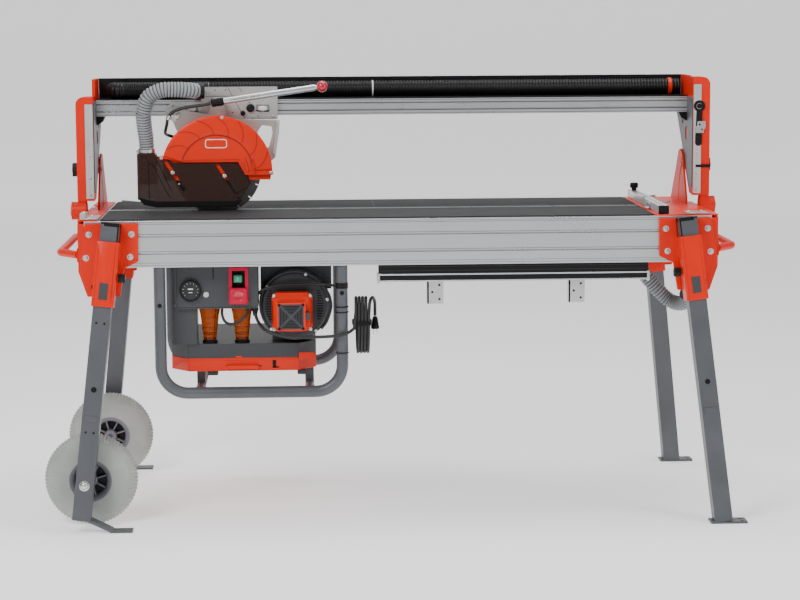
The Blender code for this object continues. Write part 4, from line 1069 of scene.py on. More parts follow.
def build_right_fittings():
    """The blade wrench, its clip, the wire clip and a strap on the right upright."""
    kept("blade_wrench", BLACK, 0.0008)
    wrench_bolt = screws("wrench_bolt", [(0.886, -0.0345, 1.142)], (0, -1, 0), 0.0075, BLACK, "bridge")
    hanger = plate("cable_hook", "Y", -0.035, -0.0331,
                   round_corners([(0.874, 1.064), (0.899, 1.064), (0.899, 1.072), (0.905, 1.08),
                                  (0.905, 1.098), (0.88, 1.098), (0.88, 1.086), (0.874, 1.08)], 0.003),
                   ZINC, "bridge", [arc((0.887, 1.088), 0.003), arc((0.894, 1.074), 0.003)], 0.0004)
    strap = boxes("upright_strap", [((0.8765, -0.035, 0.964), (0.9185, -0.0303, 0.972))], BLACK,
                  "bridge", 0.0008)


def build_carriage():
    """The cast plate keeps its shape; screws, seams, knobs, window rims, hose cuffs and roller tyres go on
    it.
    """
    kept("carriage_plate", CAST, 0.001)
    face = 0.0445
    spots = [(x, face, z) for x, z in ((-0.65, 1.125), (-0.618, 1.119), (-0.562, 1.119),
                                       (-0.543, 1.156), (-0.411, 1.119), (-0.353, 1.119),
                                       (-0.548, 1.193), (-0.43, 1.193), (-0.352, 1.193))]
    heads = screws("carriage_screws", spots, (0, -1, 0), 0.004, ZINC, "carriage")
    # Dark dots on the cast plate: painted shade where its holes are.
    holes = [(x, face + 0.0002, z)
             for x, z in ((-0.52, 1.196), (-0.49, 1.196), (-0.643, 1.152), (-0.47, 1.13), (-0.42, 1.16))]
    dots = screws("carriage_hole_shade", holes, (0, -1, 0), 0.0022, DARK_PRINT_AND_SHADE, "carriage", 0.3, 0.2)
    lines = [[(-0.483, 1.203), (-0.455, 1.15), (-0.435, 1.114)], [(-0.396, 1.115), (-0.396, 1.123)],
             [(-0.56, 1.178), (-0.342, 1.178)], [(-0.45, 1.203), (-0.442, 1.19)]]
    for number, line in enumerate(lines):
        seam = plate(f"carriage_seam_{number}", "Y", face - 0.0006, face + 0.0002, ribbon(line, 0.0016),
                     SLATE, "carriage", bevel=0.0)
    for number, (x, z, size) in enumerate(((-0.418, 1.143, 0.012), (-0.44, 1.128, 0.0072))):
        knob = lathe(f"carriage_knob_{number}", (x, face, z), (x, -1, z),
                     [(0, 0), (size * 0.6, 0), (size * 0.6, 0.0015), (size, 0.0025), (size, 0.0078),
                      (size * 0.85, 0.0088), (0, 0.0088)], BLACK, "carriage")
    for x in (-0.59, -0.3825):
        frame_hole = soft_rectangle((x - 0.0205, 1.131), (x + 0.0205, 1.153), 0.006)
        rim = plate(f"window_rim_{'left' if x < -0.5 else 'right'}", "Y", face - 0.0016, face,
                    soft_rectangle((x - 0.024, 1.1275), (x + 0.024, 1.1565), 0.008), CAST, "carriage",
                    [frame_hole], 0.0006)
    cuff = lathe("carriage_hose_cuff", (-0.599, DUCT_FRONT, HOSE_HIGH), (-0.54, DUCT_FRONT, HOSE_HIGH),
                 [(0.02, 0), (0.024, 0), (0.024, 0.01), (0.0237, 0.011), (0.0237, 0.05),
                  (0.024, 0.051), (0.024, 0.0585), (0.02, 0.0585), (0.02, 0)], BLACK, "carriage", 40)
    elbow = lathe("hose_elbow_ring", (-0.572, -0.0045, ELBOW_HIGH), (-0.572, 0.047, ELBOW_HIGH),
                  [(0.015, 0), (0.0205, 0), (0.0205, 0.012), (0.0199, 0.013), (0.0199, 0.045),
                   (0.015, 0.045), (0.015, 0)], BLACK, "carriage", 40)
    band = lathe("hose_elbow_clamp", (-0.572, -0.003, ELBOW_HIGH), (-0.572, 0.01, ELBOW_HIGH),
                 [(0.0206, 0), (0.0213, 0.0006), (0.0213, 0.0084), (0.0206, 0.009), (0.0206, 0)],
                 ZINC, "carriage", 40)
    for side in ("left", "right"):
        low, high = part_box(f"guide_roller_{side}")
        middle_point = (low + high) / 2 - SHIFT
        wheel = lathe(f"roller_{side}_tyre", middle_point - Vector((0, 0, 0.0065)),
                      middle_point + Vector((0, 0, 1)),
                      [(0.0032, 0), (0.011, 0), (0.014, 0.0022), (0.014, 0.005), (0.0128, 0.0065),
                       (0.014, 0.008), (0.014, 0.0108), (0.011, 0.013), (0.0032, 0.013), (0.0032, 0)],
                      WHITE, f"roller_{side}", 32)
        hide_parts(f"guide_roller_{side}")


def build_bridge():
    """The rail, its two ends and everything on them."""
    build_rail()
    build_bridge_hoses()
    build_uprights()
    build_carriage()


# ------------------------------------------------------------ table
LEG_TOP, LEG_FOOT = Vector((0.797, 0.337, 0.847)), Vector((0.892, 0.43, 0.0))
LEG_HALF = 0.025


def leg_line(x, y, height):
    """The middle of the leg in corner (x, y) at a height."""
    middle_line = LEG_FOOT.lerp(LEG_TOP, height / LEG_TOP.z)
    return Vector((x * middle_line.x, y * middle_line.y, height))


def leg_frame(x, y, height):
    """Axes of the leg at a height: out across X, out across Y, and up along it."""
    up = (leg_line(x, y, 0.8) - leg_line(x, y, 0.0)).normalized()
    out = Vector((x, 0, 0)) - up * up.x * x
    out.normalize()
    front = up.cross(out) * (-1 if x * y > 0 else 1)
    if front.y * y < 0:
        front = -front
    return leg_line(x, y, height), out, front.normalized(), up


def build_beams():
    """The table rails: drawn sections with a bright lip and dark bands of painted shade in their grooves,
    then the deck, the mats and the joint between the mats.
    """
    for node, side in (("front_beam", -1), ("rear_beam", 1)):
        kept(node, ALUMINIUM, 0.001)
        y = side * abs(BEAM_FACE)
        # Slate bands on the beam face: painted shade in the grooves of the drawn section.
        groove_shade_strips = []
        for z, tall in ((0.7235, 0.001), (0.73, 0.001), (0.7545, 0.0016), (0.7618, 0.0012),
                        (0.8025, 0.0016), (0.8098, 0.0012), (0.838, 0.001), (0.8425, 0.001)):
            groove_shade_strips.append(((-0.874, min(y, y + side * 0.0002), z),
                           (0.874, max(y, y + side * 0.0002), z + tall)))
        lines = boxes(f"{node}_lines", groove_shade_strips, SLATE, "table", 0.0)
        low, high = sorted((y - side * 0.006, y + side * 0.0003))
        bar_of(f"{node}_lip", -0.8748, 0.8748, [(low, DECK_TOP - 0.003), (high, DECK_TOP - 0.003),
                     (high, DECK_TOP + 0.0002), (low, DECK_TOP + 0.0002)], ALUMINIUM, "table")
    kept("table_deck", ALUMINIUM, 0.0004)
    kept("front_mat", MAT, 0.0006)
    kept("rear_mat", MAT, 0.0006)
    joints = [((-0.0605, 0.014, TABLE_TOP - 0.0005), (-0.059, 0.2985, TABLE_TOP + 0.0002)),
              ((-0.0605, -0.2985, TABLE_TOP - 0.0005), (-0.059, -0.292, TABLE_TOP + 0.0002))]
    seams = boxes("mat_seams", joints, DARK_PRINT_AND_SHADE, "table", 0.0)


def build_table_ends():
    """End castings, their protractor, clamp plates and grab handles."""
    for side, x in (("left", -1), ("right", 1)):
        kept(f"{side}_end_plate", ORANGE, 0.001)
        handle = bent_route([(x * 0.8935, -0.29, 0.754), (x * 0.951, -0.215, 0.754),
                             (x * 0.951, 0.215, 0.754), (x * 0.8935, 0.29, 0.754)], 0.05, 10)
        grip = tube(f"grab_bar_{side}", handle, 0.011, ORANGE, "table", 28)
        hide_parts(f"end_handle_{side}")
        flanges = [((min(x * 0.8933, x * 0.896), y - 0.02, 0.735),
                    (max(x * 0.8933, x * 0.896), y + 0.02, 0.773)) for y in (-0.287, 0.287)]
        feet = boxes(f"grab_feet_{side}", flanges, ORANGE, "table", 0.0012)
        spots = [(x * 0.8933, y, z) for y in (-0.24, -0.05, 0.05, 0.24) for z in (0.722, 0.824)]
        bolts = screws(f"end_bolts_{side}", spots, (x, 0, 0), 0.0055, ZINC, "table")
        build_scale(side, x)
    block = boxes("left_clamp_block",
                  [((-0.886, -0.3, 0.8521), (-0.836, -0.205, 0.8565)),
                   ((-0.886, -0.3, 0.856), (-0.87, -0.24, 0.87))], CAST, "table", 0.0015)
    spots = [(-0.86, -0.285, 0.8565), (-0.86, -0.222, 0.8565), (-0.878, -0.27, 0.87)]
    heads = screws("left_clamp_screws", spots, (0, 0, 1), 0.0055, ZINC, "table")
    plate_right = boxes("right_clamp_plate", [((0.808, -0.298, 0.8518), (0.87, -0.225, 0.8548))], CAST,
                        "table", 0.001)
    spots = [(0.82, -0.285, 0.8548), (0.858, -0.285, 0.8548), (0.82, -0.24, 0.8548), (0.858, -0.24, 0.8548)]
    heads = screws("right_clamp_screws", spots, (0, 0, 1), 0.0045, ZINC, "table")


def build_scale(side, x):
    """A protractor arc with plain degree marks on the quadrant and on the right top plate."""
    face = x * 0.8598
    shape = bmesh.new()
    for i in range(19):
        angle = math.radians(90 - 48 + i * 48 / 18)
        inner, outer = 0.164, 0.169 if i % 3 else 0.172
        if angle > math.radians(83):
            outer = 0.166
        a = (face, inner * math.cos(angle), TABLE_TOP + inner * math.sin(angle))
        b = (face, outer * math.cos(angle), TABLE_TOP + outer * math.sin(angle))
        if (a[2] - TABLE_TOP) > 0.148 or a[1] < 0.105:
            continue
        add_tube(shape, [a, b], 0.0004, 6)
    marks = piece_from(f"tilt_scale_{side}", shape, DARK_PRINT_AND_SHADE, "table", 30)
    if x < 0:
        return
    centre = (0.742, 0.262)
    sector = arc(centre, 0.19, 268, 299, 24) + arc(centre, 0.15, 299, 268, 24)
    dial = plate("fence_scale", "Z", DECK_TOP + 0.0034, DECK_TOP + 0.004, sector, PINK, "table", bevel=0.0)
    shape = bmesh.new()
    for i in range(30):
        angle = math.radians(269 + i)
        inner = 0.168 if i % 5 else 0.158
        a = (centre[0] + inner * math.cos(angle), centre[1] + inner * math.sin(angle), DECK_TOP + 0.0041)
        b = (centre[0] + 0.186 * math.cos(angle), centre[1] + 0.186 * math.sin(angle), DECK_TOP + 0.0041)
        add_tube(shape, [a, b], 0.0003, 6)
    marks = piece_from("fence_scale_marks", shape, DARK_PRINT_AND_SHADE, "table", 30)


def build_socket(corner, x, y):
    """A socket keeps its casting; a raised front, a blank pad, pan screws and pins go on it."""
    name = f"leg_socket_{corner}"
    kept(name, ORANGE, 0.0014)
    spots = [(x * px, y * 0.3181, pz)
             for px, pz in ((0.743, 0.813), (0.748, 0.75), (0.861, 0.813), (0.87, 0.748))]
    heads = screws(f"socket_screws_{corner}", spots, (0, y, 0), 0.0062, ZINC, "table")
    washers = bmesh.new()
    for spot in spots:
        start = Vector(spot) - Vector((0, y * 0.0006, 0))
        add_lathe(washers, start, start + Vector((0, y, 0)),
                  [(0, 0), (0.0088, 0), (0.0088, 0.0014), (0, 0.0014)], 24)
    rings = piece_from(f"socket_washers_{corner}", washers, ZINC, "table", 30)
    half = LEG_HALF + 0.0055
    raised = bmesh.new()
    for side in (-1, 1):
        a = leg_frame(x, y, 0.63)
        b = leg_frame(x, y, 0.785)
        start = a[0] + a[1] * side * (half - 0.004) + a[2] * half
        end = b[0] + b[1] * side * (half - 0.004) + b[2] * half
        add_tube(raised, [start, end], 0.0032, 10)
    ribs = piece_from(f"socket_ribs_{corner}", raised, ORANGE, "table", 40)
    tip = leg_frame(x, y, 0.668)
    pin = rod(f"socket_pin_{corner}", tip[0] + tip[1] * (LEG_HALF + 0.005),
              tip[0] + tip[1] * (LEG_HALF + 0.011), 0.006, BLACK, "table")
    label = leg_frame(x, y, 0.66)
    pad = bmesh.new()
    place = Matrix((label[1], label[3], label[2] * 1.0)).transposed().to_4x4()
    size = Matrix.Diagonal((0.024, 0.046, 0.0012, 1))
    ahead = Matrix.Translation(label[0] + label[2] * (half + 0.0004))
    bmesh.ops.create_cube(pad, size=1.0, matrix=ahead @ place @ size)
    blank = piece_from(f"socket_pad_{corner}", pad, SLATE_PLASTIC, "table", 30, 0.0004)


def build_leg(corner, x, y):
    """A leg keeps its square bar; black discs of painted shade at its adjusting holes, a tab, and the
    foot's bolt go on it.
    """
    body = f"leg_{corner}"
    kept(body, SLATE, 0.003, 3)
    # Black discs on the leg face: painted shade where the adjusting holes are.
    holes = bmesh.new()
    heights = [(0.392, 0.0075)] if x > 0 else [(0.573, 0.0032), (0.392, 0.0078), (0.275, 0.0032)]
    for height, radius in heights:
        centre, out, front, up = leg_frame(x, y, height)
        face = centre + front * (LEG_HALF - 0.0006)
        for push in (-0.011, 0.011) if radius < 0.004 else (0.0,):
            spot = face + out * push
            add_lathe(holes, spot, spot + front, [(0, 0), (radius, 0), (radius, 0.001), (0, 0.001)], 20)
    marks = piece_from(f"leg_hole_shade_{corner}", holes, BLACK, body, 30)
    centre, out, front, up = leg_frame(x, y, 0.312)
    tab = bmesh.new()
    axes = Matrix((out, up, front)).transposed().to_4x4()
    place = Matrix.Translation(centre + front * (LEG_HALF + 0.0006)) @ axes
    bmesh.ops.create_cube(tab, size=1.0, matrix=place @ Matrix.Diagonal((0.036, 0.017, 0.003, 1)))
    dimple = piece_from(f"leg_tab_{corner}", tab, SLATE, body, 30, 0.0014, 3)
    build_leg_cap(corner, x, y, body)
    if x < 0:
        axle = leg_frame(x, y, 0.13)
        start = axle[0] + axle[2] * (LEG_HALF - 0.001)
        nut = lathe(f"axle_nut_{corner}", start, start + axle[2],
                    [(0, 0), (0.0145, 0), (0.0145, 0.002), (0.0105, 0.0025), (0.01, 0.006),
                     (0.0075, 0.0088), (0.004, 0.0102), (0, 0.0106)], ZINC, body, 32)
    else:
        foot = leg_line(x, y, 0.0)
        # Black dots on the foot plate: painted shade where its holes are.
        spots = [(foot.x + dx, foot.y + dy, 0.0061) for dx, dy in ((0.052, 0.014), (0.052, -0.014))]
        dots = screws(f"foot_hole_shade_{corner}", spots, (0, 0, 1), 0.0052, BLACK, body, 0.4, 0.12)
    build_leg_knob(corner, x)


def build_leg_cap(corner, x, y, body):
    """The black insert that closes the top of the leg and shows round its face."""
    cap = bmesh.new()
    for height, tall, push, wide in ((0.8415, 0.01, 0.0, 0.0504), (0.818, 0.044, -0.023, 0.004),
                                     (0.818, 0.044, 0.023, 0.004)):
        centre, out, front, up = leg_frame(x, y, height)
        axes = Matrix((out, up, front)).transposed().to_4x4()
        deep = 2 * LEG_HALF + 0.0004 if push == 0.0 else 0.0004
        shift = 0.0 if push == 0.0 else LEG_HALF
        place = Matrix.Translation(centre + out * push + front * shift) @ axes
        bmesh.ops.create_cube(cap, size=1.0, matrix=place @ Matrix.Diagonal((wide, tall, deep, 1)))
    insert = piece_from(f"leg_cap_{corner}", cap, BLACK, body, 30)


def build_leg_knob(corner, x):
    """The lobed knob that clamps a leg in its socket."""
    low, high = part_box(f"leg_knob_{corner}")
    at = (low + high) / 2 - SHIFT
    outline = []
    for i in range(60):
        a = 2 * math.pi * i / 60
        size = 0.012 + 0.001 * math.cos(8 * a)
        outline.append((at.y + size * math.cos(a), at.z + size * math.sin(a)))
    near, far = low.x - SHIFT.x, high.x - SHIFT.x
    knob = plate(f"leg_knob_grip_{corner}", "X", near, far, outline, BLACK, f"leg_knob_{corner}",
                 bevel=0.0022)
    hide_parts(f"leg_knob_{corner}")


RIM_SHARE = 0.455


def build_wheel(side):
    """A puncture-proof tyre with two rows of fine ribs on a spoked plastic rim."""
    low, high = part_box(f"wheel_{side}")
    centre = (low + high) / 2 - SHIFT
    radius, half = (high.z - low.z) / 2, (high.y - low.y) / 2
    ribs, per_rib = 76, 4
    cross = []
    for i in range(37):
        a = math.pi * (i / 36 - 0.5)
        cross.append((radius * (RIM_SHARE + (1 - RIM_SHARE) * abs(math.cos(a)) ** 0.62),
                      half * math.sin(a)))
    shape = bmesh.new()
    rows = []
    for i in range(ribs * per_rib):
        a = 2 * math.pi * i / (ribs * per_rib)
        rows.append([shape.verts.new((centre.x + (r - rib_drop(i, per_rib, r / radius)) * math.cos(a),
                                      centre.y + y,
                                      centre.z + (r - rib_drop(i, per_rib, r / radius)) * math.sin(a)))
                     for r, y in cross])
    for a, b in zip(rows, rows[1:] + rows[:1]):
        for k in range(len(cross) - 1):
            shape.faces.new((a[k], a[k + 1], b[k + 1], b[k]))
        shape.faces.new((a[0], b[0], b[-1], a[-1]))
    tyre = piece_from(f"tyre_{side}", shape, TYRE, f"wheel_{side}", 50)
    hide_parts(f"wheel_{side}")
    build_rim(side, centre, half, radius)


def rib_drop(step, per_rib, share):
    """How deep the tread is cut here: two rows of ribs with a ring between them."""
    if share < 0.845:
        return 0.0
    if 0.915 < share < 0.935:
        return 0.0024
    shifted = step + (per_rib // 2 if share > 0.925 else 0)
    return 0.0024 if shifted % per_rib in (0, 1) else 0.0


def build_rim(side, centre, half, radius):
    """The rim: a rolled ring each side, a black disc of painted shade deep between the spokes, eight thin
    spokes and a hub.
    """
    body = f"wheel_{side}"
    up = Vector((0, 1, 0))
    outer, inner = radius * (RIM_SHARE + 0.012), radius * 0.345
    bowl = [(outer - 0.004, -half + 0.002), (outer, -half - 0.0), (outer - 0.006, -half - 0.0002 + 0.0004),
            (inner + 0.004, -half + 0.004), (inner, -half + 0.012), (inner - 0.002, 0.0),
            (inner, half - 0.012), (inner + 0.004, half - 0.004), (outer - 0.006, half - 0.0002),
            (outer, half - 0.0), (outer - 0.004, half - 0.002), (outer - 0.004, -half + 0.002)]
    ring = lathe(f"rim_ring_{side}", centre, centre + up, bowl, RIM, body, 96)
    # Painted shade: a black disc set back between the spokes for the dark inside of the rim.
    disc = lathe(f"rim_shade_disc_{side}", centre, centre + up,
                 [(0.0165, -half + 0.026), (inner, -half + 0.026), (inner, half - 0.026),
                  (0.0165, half - 0.026), (0.0165, -half + 0.026)], BLACK, body, 64)
    spokes = bmesh.new()
    for i in range(8):
        push = (Matrix.Translation(centre) @ Matrix.Rotation(-2 * math.pi * i / 8 - 0.3, 4, "Y")
                @ Matrix.Translation(((inner + 0.016) / 2, 0, 0)))
        bmesh.ops.create_cube(spokes, size=1.0, matrix=push @ Matrix.Diagonal(
            (inner - 0.014, 2 * half - 0.02, 0.0042, 1)))
    arms = piece_from(f"rim_spokes_{side}", spokes, RIM, body, 30, 0.0008)
    hub = lathe(f"rim_hub_{side}", centre, centre + up,
                [(0.007, -half + 0.001), (0.016, -half + 0.001), (0.0185, -half + 0.004),
                 (0.0185, half - 0.004), (0.016, half - 0.001), (0.007, half - 0.001),
                 (0.007, -half + 0.001)], RIM, body, 48)


def build_fence():
    """The fence bar, its end caps, stop, a dark band of painted shade in its slot, and knob."""
    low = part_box("angle_fence")[0] - SHIFT
    kept("angle_fence", BAR_METAL, 0.0008)
    caps = boxes("fence_caps",
                 [((0.7275, -0.2885, low.z - 0.0002), (0.7565, -0.2845, 0.875)),
                  ((0.7275, 0.2845, low.z - 0.0002), (0.7565, 0.2885, 0.875))], BLACK, "fence", 0.0008)
    # Slate band on the bar's top: painted shade in its slot.
    groove = boxes("fence_slot_shade", [((0.7405, -0.283, 0.8744), (0.7435, 0.24, 0.8748))], SLATE, "fence", 0.0)
    pad = boxes("fence_pointer",
                [((0.716, -0.14, 0.853), (0.728, -0.09, 0.856)),
                 ((0.724, -0.14, 0.853), (0.7282, -0.09, 0.87))], ZINC, "fence", 0.0006)
    at = Vector((0.742, 0.262, 0.8752))
    knob = lathe("fence_grip", at, at + Vector((0, 0, 1)),
                 [(0, 0), (0.0075, 0), (0.0075, 0.006), (0.012, 0.008), (0.0124, 0.01), (0.0124, 0.0195),
                  (0.0112, 0.0225), (0.006, 0.0233), (0, 0.0233)], BLACK, "fence_knob", 40)
    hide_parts("fence_knob")


def build_table():
    """The beams, mats, ends, legs, wheels and fence."""
    build_beams()
    build_table_ends()
    for corner, (x, y) in CORNERS.items():
        build_socket(corner, x, y)
        build_leg(corner, x, y)
    build_wheel("front")
    build_wheel("rear")
    build_fence()


# ------------------------------------------------------------ extractor
def build_underframe():
    """The tube cradle, smooth and round, with its cross tubes, posts and hole plugs."""
    runs = bmesh.new()
    for y in (-CRADLE_SIDE, CRADLE_SIDE):
        route = bent_route([(-0.671, y, 0.7177), (-0.671, y, 0.36), (-0.163, y, 0.36), (-0.163, y, 0.7177)],
                           0.075, 12)
        add_tube(runs, route, 0.0165, 32)
    for x in (-0.565, -0.255):
        add_tube(runs, [(x, -0.27, 0.36), (x, 0.27, 0.36)], 0.013, 28)
    cradle = piece_from("cradle_tubes", runs, SLATE, "table", 50)
    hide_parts("underframe")
    low_posts = []
    for x in (-0.565, -0.255):
        for y in (-0.15, 0.13):
            low_posts.append(((x - 0.012, y - 0.012, 0.365), (x + 0.012, y + 0.012, 0.4097)))
    posts = boxes("cradle_posts", low_posts, SLATE, "table", 0.0015)
    plugs = [(-0.671, -0.2995, 0.61), (-0.163, -0.2995, 0.64)]
    dots = screws("tube_plugs", plugs, (0, -1, 0), 0.0062, BLACK, "table", 0.4, 0.3)


def build_control_box():
    """The switch box: seams, meter, lock and the red switch frame."""
    kept("control_box", SLATE_PLASTIC, 0.0018)
    face = -0.2402
    seams = boxes("box_seams", [((-0.5245, face - 0.0004, 0.676), (-0.5218, face + 0.0004, 0.717)),
                                ((-0.6265, face - 0.0003, 0.594), (-0.6255, face + 0.0004, 0.717)),
                                ((-0.6265, face - 0.0003, 0.5955), (-0.402, face + 0.0004, 0.5964))],
                  BLACK, "table", 0.0)
    at = Vector((-0.587, -0.2481, 0.645))
    dial = lathe("meter_rim", at, at - Vector((0, 1, 0)),
                 [(0.0255, 0), (0.031, 0), (0.031, 0.002), (0.0285, 0.0038), (0.0262, 0.0038),
                  (0.0255, 0.001), (0.0255, 0)], BLACK, "table", 64)
    glass = lathe("meter_face", at, at - Vector((0, 1, 0)),
                  [(0, 0), (0.0256, 0), (0.0256, 0.0012), (0, 0.0012)], GLASS, "table", 64)
    shape = bmesh.new()
    for i in range(11):
        a = math.radians(-40 + i * 26)
        p, q = ((at.x + r * math.cos(a), -0.2494, at.z + r * math.sin(a)) for r in (0.0195, 0.0225))
        add_tube(shape, [p, q], 0.0005, 6)
    add_box(shape, (at.x - 0.007, -0.2497, at.z + 0.003), (at.x + 0.007, -0.2492, at.z + 0.0062))
    add_box(shape, (at.x - 0.005, -0.2497, at.z - 0.006), (at.x + 0.005, -0.2492, at.z - 0.0042))
    marks = piece_from("meter_marks", shape, WHITE, "table", 30)
    lock = lathe("round_lock", (-0.544, face, 0.633), (-0.544, face - 1, 0.633),
                 [(0, 0), (0.0085, 0), (0.0085, 0.003), (0.0072, 0.0042), (0.0072, 0.003),
                  (0.0035, 0.003), (0.0035, 0.0048), (0, 0.0048)], ZINC, "table", 32)
    opening = soft_rectangle((-0.4705, 0.614), (-0.4345, 0.699), 0.003)
    frame_plate = plate("switch_frame", "Y", face - 0.0034, face,
                        soft_rectangle((-0.48, 0.604), (-0.425, 0.709), 0.006), CRIMSON, "table",
                        [opening], 0.001)
    floor = boxes("switch_well", [((-0.4775, -0.2224, 0.6078), (-0.4275, -0.2221, 0.7055))], BLACK, "table",
                  0.0)
    kept("start_button", GREEN, 0.0025, 3)
    kept("stop_flap", CRIMSON, 0.003, 3)
    disc = lathe("stop_disc", (-0.4525, -0.2621, 0.63), (-0.4525, -1, 0.63),
                 [(0, 0), (0.015, 0), (0.015, 0.001), (0.0135, 0.002), (0.012, 0.0012), (0, 0.0012)],
                 RED, "flap", 40)
    bar = boxes("button_mark", [((-0.4546, -0.2525, 0.6715), (-0.4534, -0.2519, 0.6825))], WHITE,
                "button", 0.0)


def build_cyclones():
    """Amber cones with a dark collar and ribs, on a dark deck."""
    for side, x in (("left", -0.537), ("right", -0.446)):
        low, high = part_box(f"cyclone_{side}")
        bottom, top = low.z, high.z
        tall = top - bottom
        profile = [(0, 0), (0.0175, 0), (0.0172, 0.004)]
        for rib in range(5):
            at = 0.006 + rib * 0.0165
            r = 0.0172 + 0.0118 * at / tall
            profile += [(r, at), (r + 0.0006, at + 0.0008), (r + 0.0006, at + 0.0024),
                        (r + 0.0004, at + 0.0034)]
        profile += [(0.0292, tall - 0.012), (0.0299, tall - 0.0115), (0.0299, tall), (0, tall)]
        base = Vector((x, -0.1825, bottom))
        cone = lathe(f"cyclone_cone_{side}", base, base + Vector((0, 0, 1)), profile, AMBER, "table", 48)
        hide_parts(f"cyclone_{side}")
        collar = lathe(f"cyclone_collar_{side}", base, base + Vector((0, 0, 1)),
                       [(0.0176, 0.0003), (0.0215, 0.0003), (0.0215, 0.006), (0.019, 0.008),
                        (0.0178, 0.008), (0.0176, 0.0003)], BLACK, "table", 40)
    kept("cyclone_deck", SLATE_PLASTIC, 0.002)
    kept("dust_tray", ORANGE_PLASTIC, 0.002)
    step = boxes("tray_lip", [((-0.61, -0.2162, 0.4405), (-0.276, -0.2148, 0.444))], ORANGE_PLASTIC,
                 "tray", 0.0006)
    raised = boxes("tray_step",
                   [((-0.286, -0.2185, 0.444), (-0.24, -0.2153, 0.462)),
                    ((-0.464, -0.2156, 0.447), (-0.446, -0.212, 0.453))], ORANGE_PLASTIC, "tray", 0.002)
    # Black strips: painted shade in the gap between parts of the tray.
    gap = boxes("tray_gap_shade", [((-0.36, -0.2156, 0.418), (-0.35, -0.2148, 0.44)),
                             ((-0.36, -0.2156, 0.418), (-0.342, -0.2148, 0.4215))], BLACK, "tray", 0.0)
    feet = boxes("tray_feet",
                 [((-0.545, -0.205, 0.396), (-0.515, -0.18, 0.4096)),
                  ((-0.29, -0.205, 0.396), (-0.265, -0.18, 0.4096))], SLATE_PLASTIC, "table", 0.003)
    handle = boxes("tray_grip_shadow", [((-0.49, -0.2158, 0.4225), (-0.39, -0.2149, 0.4255))], DARK_PRINT_AND_SHADE,
                   "tray", 0.0)


def build_vacuum():
    """The vacuum: a ribbed round housing, an orange motor frame and its vented cap."""
    kept("vacuum_housing", SLATE_PLASTIC, 0.002)
    centre = (-0.296, 0.5945)
    face = -0.2052
    shape = bmesh.new()
    start = Vector((centre[0], face, centre[1]))
    for radius in (0.098, 0.086):
        add_lathe(shape, start, start - Vector((0, 1, 0)),
                  [(radius - 0.003, 0), (radius, 0), (radius, 0.0024), (radius - 0.003, 0.0024),
                   (radius - 0.003, 0)], 96)
    rings = piece_from("vacuum_rings", shape, SLATE_PLASTIC, "table", 30)
    slats = []
    for i in range(16):
        z = centre[1] - 0.055 + i * 0.0073
        reach = math.sqrt(max(0.0, 0.0835 ** 2 - (z - centre[1]) ** 2))
        for push in (-1, 1):
            near, far = sorted((centre[0] + push * 0.064, centre[0] + push * reach))
            if far - near > 0.006:
                slats.append(((near, face - 0.002, z), (far, face, z + 0.0034)))
    fins = boxes("vacuum_slats", slats, BLACK, "table", 0.0005)
    bolts = screws("vacuum_bolts", [(centre[0] + 0.094 * math.cos(math.radians(a)), face - 0.0022,
                                     centre[1] + 0.094 * math.sin(math.radians(a)))
                                    for a in (10, 70, 145, 225, 310)], (0, -1, 0), 0.0052, ZINC, "table")
    kept("vacuum_motor", ORANGE_PLASTIC, 0.003, 3)
    front = -0.2853
    cap = boxes("motor_cap", [((-0.3462, -0.2853, 0.5318), (-0.2648, -0.265, 0.6132))], SLATE_PLASTIC,
                "table", 0.006)
    build_grille(front)
    frame_bolts = [(x, -0.2621, z) for x in (-0.3535, -0.2515) for z in (0.5345, 0.6295)]
    heads = screws("motor_bolts", frame_bolts, (0, -1, 0), 0.005, ZINC, "table")
    # Dark lines on the motor frame's sides: painted shade in its vent slots.
    slots = [((-0.36 - 0.0004, -0.256 + k * 0.008, 0.548), (-0.3596, -0.252 + k * 0.008, 0.616))
             for k in range(6)]
    slots += [((-0.2454, a[1], a[2]), (-0.2446, b[1], b[2])) for a, b in list(slots)]
    vents = boxes("motor_side_vent_shade", slots, DARK_PRINT_AND_SHADE, "table", 0.0)


def build_grille(front):
    """The cap's grille: four fans of slots drawn as black boxes of painted shade, between two crossed bars,
    and corner screws.
    """
    centre = Vector((-0.3055, front, 0.5725))
    slots = bmesh.new()
    for side in range(4):
        spin = Matrix.Translation(centre) @ Matrix.Rotation(math.pi / 2 * side, 4, "Y")
        for row in range(6):
            out = 0.009 + row * 0.0042
            wide = 2 * (out - 0.0045)
            place = spin @ Matrix.Translation((0, -0.0002, out)) @ Matrix.Diagonal((wide, 0.0012, 0.002, 1))
            bmesh.ops.create_cube(slots, size=1.0, matrix=place)
    vents = piece_from("motor_grille_slot_shade", slots, BLACK, "table", 30)
    corners = [(centre.x + a * 0.0335, front, centre.z + b * 0.0335) for a in (-1, 1) for b in (-1, 1)]
    heads = screws("motor_cap_screws", corners, (0, -1, 0), 0.0042, BLACK, "table")
    tab = boxes("motor_cap_tab", [((-0.2655, -0.28, 0.562), (-0.252, -0.264, 0.584))], SLATE_PLASTIC,
                "table", 0.0015)


